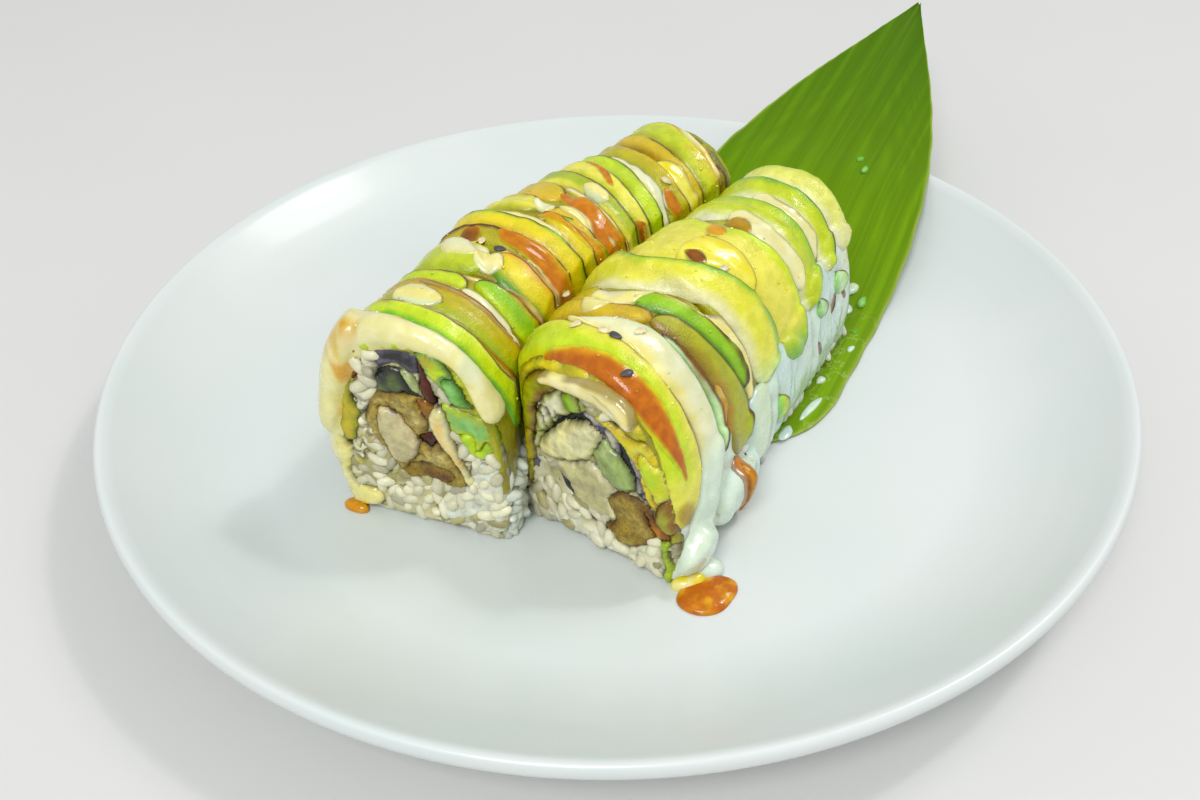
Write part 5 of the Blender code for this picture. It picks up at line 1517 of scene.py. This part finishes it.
def makeCut(row, index, front):
    # one cut face: closed pieces that fit together like the real cut, each with its own relief
    values = faceValues
    key = "%s_%d" % (row.name, index + 1)
    regions = cutValues[key]
    distance = 0.0 if front else row.length
    sign = -1 if front else 1
    cell = values["cell"] if front else values["rearCell"]
    share = np.linspace(0, 1, 161)
    rim = np.stack(row.arch(np.full(161, distance), share, np.full(161, values["outer"])), -1)
    low = rim.min(0) - 2
    high = rim.max(0) + 2
    xs = np.arange(low[0], high[0], cell)
    ys = np.arange(0.05, high[1], cell)
    gridX, gridY = np.meshgrid(xs, ys, indexing="ij")
    midX = (gridX[:-1, :-1] + gridX[1:, 1:]) / 2
    midY = (gridY[:-1, :-1] + gridY[1:, 1:]) / 2
    field = np.stack([midX, midY, midX * 0 + 3.0 * index + (row.name == "left") * 40], -1)
    warpX = warpY = 0
    for size, strength in values["warp"]:
        warpX = warpX + cloud(field, size, 31) * strength
        warpY = warpY + cloud(field, size, 32) * strength
    inside = insideOutlines(midX, midY, rim)
    owner = np.full(midX.shape, -1)
    for number, region in enumerate(regions):
        shape = region[6]
        if shape is None:
            hit = inside
        elif shape == "inner":
            within = np.stack(row.arch(np.full(161, distance), share, riceHeight(row, share)), -1)
            hit = inside & insideOutlines(midX + warpX * 0.6, midY + warpY * 0.6, within)
        else:
            hit = inside & insideOutlines(midX + warpX, midY + warpY, closedCurve(shape, 90))
        owner[hit] = number
    # cells round each vertex
    padded = np.pad(owner, 1, constant_values=-1)
    around = np.stack([padded[:-1, :-1], padded[1:, :-1], padded[:-1, 1:], padded[1:, 1:]])
    seam = (around != around[0]).any(0)
    outside = (around < 0).any(0)
    # seams are smoothed within the cut so that they do not step
    x, y = gridX.copy(), gridY.copy()
    for _ in range(4):
        for values2 in (x, y):
            total = np.zeros_like(values2)
            count = np.zeros_like(values2)
            for di, dj in ((0, 1), (1, 0), (0, -1), (-1, 0)):
                near = np.roll(values2, (di, dj), (0, 1))
                on = np.roll(seam, (di, dj), (0, 1)) & seam
                total += near * on
                count += on
            values2[seam] = (values2 * 0.5 + 0.5 * total / np.maximum(count, 1))[seam] * (count[seam] > 1) \
                + values2[seam] * (count[seam] <= 1)
    y = np.maximum(y, 0.05)

    def spread(start, limit):
        # steps away from the marked vertices, in millimetres
        away = np.where(start, 0.0, limit)
        for _ in range(int(limit / cell) + 1):
            for di, dj in ((0, 1), (1, 0), (0, -1), (-1, 0)):
                away = np.minimum(away, np.roll(away, (di, dj), (0, 1)) + cell)
        return away

    away = spread(seam, 4.0)
    awayRim = spread(outside, 5.0)
    prouds = np.array([region[3] for region in regions] + [0.0])
    roughs = np.array([region[4] for region in regions] + [0.0])
    proud = blurred(blurred(prouds[around].mean(0), 1, 0), 1, 1)
    rough = roughs[around].mean(0)
    place = np.stack([x, y, x * 0 + 11 * index], -1)
    relief = cloud(place, 3.2, 41) * 1.0 + cloud(place, 1.3, 42) * 0.55
    dome = 1 - np.exp(-away / 0.9)
    height = proud + values["dome"] * dome - values["groove"] * (1 - dome) + relief * rough * (0.35 + 0.65 * dome)
    line = np.abs(cloud(place, 4.4, 43) + 0.3 * cloud(place, 1.5, 44))
    crackAt = smoothStep(-line, -values["crack"] * 2.2, -values["crack"] * 0.6)
    crackAt = crackAt * smoothStep(cloud(place, 8.0, 45), -0.12, 0.1)
    cracks = np.array([region[5] for region in regions] + [0.0])[around].max(0) * crackAt
    height = height - cracks * 0.8
    curl = np.maximum(0, values["edge"] - awayRim)
    height = height - curl ** 2 * 0.32
    points = row.place(np.full(x.shape, distance), x, y) + (height * sign)[..., None] * row.forward(distance)
    points[..., 2] = np.maximum(points[..., 2], sectionValues["floor"] + 0.05)
    plain = np.array([region[0] == "rice" and region[1] == "rice" for region in regions] + [False])[owner]
    clear = (away[:-1, :-1] > 0.9) & (awayRim[:-1, :-1] > 2.0) & plain
    row.bareRice[sign] = xs + cell / 2, ys + cell / 2, clear, height
    builds = {}
    for number, region in enumerate(regions):
        group, finish, names, _, _, cracked, _ = region
        cells = np.argwhere(owner == number)
        if not len(cells):
            continue
        used = {}
        quads = []
        for i, j in cells:
            corners = [(i, j), (i + 1, j), (i + 1, j + 1), (i, j + 1)]
            quads.append([used.setdefault(corner, len(used)) for corner in corners])
        spots = np.array(list(used))
        frontPoints = points[spots[:, 0], spots[:, 1]]
        through = group in nodeOf and group != "nori"
        depth = (row.cuts[index + 1] - row.cuts[index] - 0.6) if through else values["depth"]
        backAt = distance - sign * depth
        backPoints = row.place(np.full(len(spots), backAt), x[spots[:, 0], spots[:, 1]], y[spots[:, 0], spots[:, 1]])
        count = len(spots)
        faces = []
        edges = {}
        for quad in quads:
            face = quad if front else quad[::-1]
            faces.append(face)
            faces.append([k + count for k in face[::-1]])
            for a, b in zip(face, face[1:] + face[:1]):
                edges[(a, b)] = True
        faces += [[b, a, a + count, b + count] for a, b in edges if (b, a) not in edges]
        tones = [paint(name) for name in names.split()]
        spot = place[spots[:, 0], spots[:, 1]]
        mix = smoothStep(cloud(spot, 4.5, 46 + number) + 0.4 * cloud(spot, 1.6, 47), -0.2, 0.2)[:, None]
        tone = tones[0] * (1 - mix) + tones[1 % len(tones)] * mix
        near = away[spots[:, 0], spots[:, 1]]
        if len(tones) > 2:
            edge = (smoothStep(-near + cloud(spot, 2.0, 48) * 1.6, -1.8, -0.2) * 0.8)[:, None]
            tone = tone * (1 - edge) + tones[2] * edge
        # painted shade: darker in the relief's hollows, close to the grooved seams between regions and in the cracks
        hollow = smoothStep(-relief[spots[:, 0], spots[:, 1]], 0.05, 0.5) * 0.3
        dark = 1 - hollow - 0.6 * np.exp(-near / 0.4) * (cloud(spot, 3.0, 49) > -0.12)
        dark = dark * (1 - 0.8 * cracks[spots[:, 0], spots[:, 1]])
        tone = tone * np.clip(dark, 0.08, 1)[:, None]
        build = builds.setdefault((group, finish), Build())
        build.add(np.r_[frontPoints, backPoints], faces, np.r_[tone, tone])
    return builds


def fillPieces():
    for row in rows.values():
        for index, front in ((0, True), (len(row.cuts) - 2, False)):
            number = "%s%d" % (row.name.title(), index + 1)
            builds = makeCut(row, index, front)
            tube = makeNori(row, index)
            face = builds.pop(("nori", "nori"))
            tube.add(np.concatenate(face.points), face.faces, np.concatenate(face.tones))
            tube.make("nori" + number, finishes["nori"], ["nori_%s_%d" % (row.name, index + 1)], "nori")
            for (group, finish), build in builds.items():
                node = nodeOf.get(group)
                replaced = ["%s_%s_%d" % (node, row.name, index + 1)] if node else ()
                build.make("cut%s%s%s" % (group.title(), finish.title(), number), finishes[finish], replaced,
                           slotOf.get(group) if node else None)


def makeNori(row, index):
    # the seaweed tube through one end piece, wrinkled, with both cut edges showing
    key = "%s_%d" % (row.name, index + 1)
    near, far = row.cuts[index] + 0.1, row.cuts[index + 1] - 0.1
    steps = 120
    curve = closedCurve(tubeValues[key], steps)
    middle = curve.mean(0)
    rel = curve - middle
    radius = np.hypot(rel[:, 0], rel[:, 1])[:, None]
    direction = rel / radius
    angle = np.arange(steps) / steps * 2 * pi
    loops = []
    for distance, inset in ((near + 0.3, 0.15), (near + 0.2, 0.45), (near + 0.4, 0.9), (near + 2, 1.0),
                            (far - 2, 1.0), (far - 0.4, 0.9), (far - 0.2, 0.45), (far - 0.3, 0.15), (far - 2, 0.0),
                            (near + 2, 0.0)):
        field = np.stack([np.cos(angle) * 9, np.sin(angle) * 9, angle * 0 + distance * 0.25], -1)
        wobble = cloud(field, 2.6, 21) * 1.5 + cloud(field, 1.1, 22) * 0.6
        flat = middle + direction * (radius - inset - 0.2 + wobble[:, None] * 0.6)
        loops.append(row.place(distance + 0 * angle, flat[:, 0], flat[:, 1]))
    points = np.concatenate(loops)
    tint = smoothStep(cloud(points, 4, 24), 0.0, 0.35)[:, None]
    tone = paint("nori") * (1 - tint) + paint("noriPurple") * tint
    build = Build()
    build.add(points, ringFaces(len(loops), steps, closed=True), tone)
    return build


fillPieces()
for row in rows.values():
    scatterGrains(row)
print("cuts filled")


# sesame: row, along the row, share of the arch, colour
seedValues = {
    "size": (3.1, 1.9, 0.9),
    "white": (("right", 9.5, 0.515), ("right", 14.2, 0.56), ("left", 41.2, 0.475), ("left", 43.4, 0.683),
              ("right", 8.0, 0.465), ("left", 96.5, 0.60), ("right", 46.0, 0.58)),
    "black": (("right", 3.2, 0.585), ("right", 9.6, 0.535), ("left", 40.0, 0.52)),
}


def makeSeeds():
    long, wide, thick = seedValues["size"]
    for kind in ("white", "black"):
        build = Build()
        for name, path, share in seedValues[kind]:
            row = rows[name]
            base = row.topAt(np.array(path), np.array(share), row.soft)
            centre = row.skin(path, share, base + thick * 0.35)
            up = row.skin(path, share, base + 1) - row.skin(path, share, base)
            up /= np.linalg.norm(up)
            first = rng.normal(size=3)
            first -= up * first.dot(up)
            first /= np.linalg.norm(first)
            second = np.cross(up, first)
            sides, rings = 16, 9
            angle = np.arange(sides) / sides * 2 * pi
            loops = []
            for place in np.sin(np.linspace(-pi / 2, pi / 2, rings + 2))[1:-1]:
                r = (1 - abs(place) ** 2) ** 0.5 * (1 - 0.28 * place)
                loops.append(np.stack([angle * 0 + place * long / 2, r * wide / 2 * np.cos(angle),
                                       r * thick / 2 * np.sin(angle)], -1))
            points = np.concatenate(loops) @ np.array([first, second, up]) + centre
            points = points + cloud(points, 0.7, 60)[:, None] * 0.12
            faces = ringFaces(rings, sides, flip=True)
            faces.append(list(range(sides)))
            faces.append(list(range((rings - 1) * sides, rings * sides))[::-1])
            tone = np.array((0.70, 0.62, 0.36)) if kind == "white" else np.array((0.05, 0.045, 0.06))
            build.add(points, faces, tone * rng.uniform(0.85, 1.1))
        build.make(kind + "Sesame", finishes["seed"])


puddleValues = {
    "middle": (19.6, -74.2), "size": (6.8, 5.4), "high": 1.7,
    "cream": ((16.2, -69.8), (4.8, 2.6), 2.6),
    "flow": ((17.6, -66.4), (5.4, 4.2), 3.4),
    "foot": ((-18.8, -1.4), (3.6, 1.9), 1.9),
}


def addPool(build, middle, size, high, tones, seed, turn=0.0, base=plateValues["floor"]):
    # a flat-bottomed pool with a round shoulder
    steps, rings = 72, 12
    angle = np.arange(steps) / steps * 2 * pi
    wave = 1 + 0.12 * np.sin(2 * angle + 0.6 + seed) + 0.06 * np.sin(3 * angle + seed)
    first, second = [paint(name) for name in tones]
    loops = []
    for share in np.linspace(0, 1, rings):
        out = cos(share * pi / 2) ** 0.7 if share < 1 else 0.04
        x = size[0] * out * wave * np.cos(angle)
        y = size[1] * out * wave * np.sin(angle)
        z = high * sin(share * pi / 2) ** 0.8
        loops.append(np.stack([middle[0] + x * cos(turn) - y * sin(turn), middle[1] + x * sin(turn) + y * cos(turn),
                               np.full(steps, base + 0.1 + z)], -1))
    loops.insert(0, loops[0] * [1, 1, 1] - [0, 0, 0.02])
    points = np.concatenate(loops)
    points[:, 2] += cloud(points, 2.6, seed) * 0.35 * (points[:, 2] > base + 0.6)
    mix = smoothStep(cloud(points, 3.2, seed + 1), -0.1, 0.25)[:, None]
    faces = ringFaces(len(loops), steps)
    faces.append(list(range(steps))[::-1])
    faces.append(list(range((len(loops) - 1) * steps, len(loops) * steps)))
    build.add(points, faces, first * (1 - mix) + second * mix)


def makePuddles():
    values = puddleValues
    build = Build()
    addPool(build, values["middle"], values["size"], values["high"], ("sauceDeep", "amber"), 31, 0.15)
    build.make("saucePuddle", finishes["sauce"], ["sauce_puddle"], "sauce")
    build = Build()
    middle, size, high = values["cream"]
    addPool(build, middle, size, high, ("yellow", "cream"), 37, 0.3)
    middle, size, high = values["flow"]
    addPool(build, middle, size, high, ("mayoCool", "creamWhite"), 38, -0.3)
    build.make("creamPool", finishes["cream"])
    build = Build()
    (across, ahead), size, high = values["foot"]
    middle = rows["left"].place(np.array(ahead), across, 0)[:2]
    addPool(build, middle, size, high, ("sauceAmber", "sauce"), 41, -0.35)
    build.make("footSauce", finishes["sauce"])


# crumbs and smears of cream on the leaf: share of its length from the tip, off its midline, long, wide, high, mm
crumbValues = {
    "cream": ((0.655, 25.0, 3.4, 1.5, 1.3), (0.69, 26.5, 2.4, 1.3, 0.9), (0.592, 15.4, 1.6, 1.1, 1.2),
              (0.734, 27.7, 2.2, 1.2, 1.4), (0.763, 33.0, 1.4, 0.9, 0.7), (0.888, 31.5, 5.5, 1.1, 0.6),
              (0.835, 30.0, 1.8, 1.0, 0.8), (0.94, 29.0, 3.4, 1.3, 0.6)),
    "avocado": ((0.44, 10.5, 1.6, 1.0, 0.9), (0.462, 13.5, 2.0, 0.9, 1.0), (0.672, 29.5, 2.4, 1.2, 1.2),
                (0.727, 31.5, 1.2, 0.8, 0.6), (0.873, 27.3, 1.4, 0.9, 0.6)),
}


def makeCrumbs():
    for kind, tones in (("cream", ("mayoBlue", "creamCool")), ("avocado", ("greenRim", "greenPale"))):
        build = Build()
        for number, (share, off, long, wide, high) in enumerate(crumbValues[kind]):
            x, y, z = leafPoint(np.array(share), np.array(off), leafValues["thick"])
            addPool(build, (x, y), (wide, long), high, tones, 51 + number, radians(-leafValues["facing"] - 8), z - 0.1)
        build.make("leafCrumbs" + kind.title(), finishes[kind])


def makeBeads():
    # small beads of sauce and cream caught along the slices
    for row in rows.values():
        build = Build()
        for _ in range(beadValues["count"]):
            path, share = rng.uniform(0, row.length), rng.uniform(*beadValues["share"])
            size = rng.uniform(*beadValues["size"])
            base = row.topAt(np.array(path), np.array(share), row.soft)
            centre = row.skin(path, share, base + size * 0.1)
            up = row.skin(path, share, base + 1) - row.skin(path, share, base)
            up /= np.linalg.norm(up)
            first = np.cross(up, (0.3, 0.9, 0.2))
            first /= np.linalg.norm(first)
            second = np.cross(up, first)
            angle = np.arange(8) / 8 * 2 * pi
            loops = []
            for lift in (-0.5, 0.05, 0.5, 0.86, 0.985):
                r = size * (1 - lift * lift) ** 0.5
                loops.append(np.stack([r * np.cos(angle), r * np.sin(angle), angle * 0 + lift * size * 0.8], -1))
            points = np.concatenate(loops) @ np.array([first, second, up]) + centre
            faces = ringFaces(5, 8)
            faces.append(list(range(8))[::-1])
            faces.append(list(range(32, 40)))
            tone = row.shadeAt(np.array(path), np.array(share)) * 0.75 + paint("creamPale") * 0.25
            build.add(points, faces, np.clip(tone * rng.uniform(0.9, 1.2), 0, 1))
        build.make("sauceBeads" + row.name.title(), finishes["cream"])


beadValues = {"count": 90, "share": (0.36, 0.80), "size": (0.15, 0.42)}
makeSeeds()
makePuddles()
makeCrumbs()
makeBeads()
print("seeds and pools placed")


stageValues = {
    "floorSize": 3.0, "floorTone": (0.62, 0.62, 0.61),
    "camera": (0.0, -0.26218, 0.21754), "yaw": -0.83693, "down": 39.0276, "roll": -1.99777, "lens": 37.54,
    "world": ((0.95, 0.98, 1.0), 0.6),
    "lamps": (
        ("windowLamp", (0.95, 0.45, 1.55), (0.0, 0.0, 0.02), 0.6, 6.5, (1.0, 0.985, 0.95)),
        ("glintLamp", (0.9, 0.3, 1.5), (0.0, 0.0, 0.02), 0.14, 4.0, (1.0, 0.99, 0.97)),
        ("frontLamp", (-0.35, -1.2, 1.5), (0.0, 0.0, 0.02), 0.8, 22.5, (1.0, 0.99, 0.97)),
    ),
}


def aim(thing, place, target):
    # turns a lamp to look at its target
    away = np.array(place) - np.array(target)
    z = away / np.linalg.norm(away)
    x = np.cross((0, 0, 1), z)
    x /= np.linalg.norm(x)
    y = np.cross(z, x)
    thing.matrix_world = Matrix([[x[i], y[i], z[i], place[i]] for i in range(3)] + [[0, 0, 0, 1]])


def setStage():
    values = stageValues
    size = values["floorSize"] / 2
    mesh = bpy.data.meshes.new("tableTop")
    mesh.from_pydata([(-size, -size, 0), (size, -size, 0), (size, size, 0), (-size, size, 0)], [], [(0, 1, 2, 3)])
    floor = bpy.data.objects.new("tableTop", mesh)
    bpy.context.scene.collection.objects.link(floor)
    ground = Finish("tablePaint", Roughness=0.6)
    soft = ground.noise(90, 2)
    ground.set(Base_Color=mixColour(ground.tree, soft.clamp(0.3, 0.7) * 0.2, values["floorTone"], (0.58, 0.58, 0.575)))
    mesh.materials.append(ground.material)
    for name, place, target, width, power, colour in values["lamps"]:
        lamp = bpy.data.lights.new(name, "AREA")
        lamp.shape = "DISK"
        lamp.size = width
        lamp.energy = power
        lamp.color = colour
        thing = bpy.data.objects.new(name, lamp)
        bpy.context.scene.collection.objects.link(thing)
        aim(thing, place, target)
    world = bpy.data.worlds.new("softRoom")
    bpy.context.scene.world = world
    world.use_nodes = True
    colour, strength = values["world"]
    back = world.node_tree.nodes["Background"]
    back.inputs["Color"].default_value = (*colour, 1)
    back.inputs["Strength"].default_value = strength
    yaw, down, roll = radians(values["yaw"]), radians(values["down"]), radians(values["roll"])
    forward = np.array([sin(yaw) * cos(down), cos(yaw) * cos(down), -sin(down)])
    right = np.array([cos(yaw), -sin(yaw), 0])
    up = np.cross(right, forward)
    x = right * cos(roll) + up * sin(roll)
    y = -right * sin(roll) + up * cos(roll)
    lens = bpy.data.cameras.new("plateCamera")
    lens.lens = values["lens"]
    lens.sensor_width = 36
    camera = bpy.data.objects.new("plateCamera", lens)
    bpy.context.scene.collection.objects.link(camera)
    place = values["camera"]
    camera.matrix_world = Matrix([[x[i], y[i], -forward[i], place[i]] for i in range(3)] + [[0, 0, 0, 1]])
    bpy.context.scene.camera = camera
    bpy.context.scene.view_settings.view_transform = "Standard"


setStage()
print("stage set")
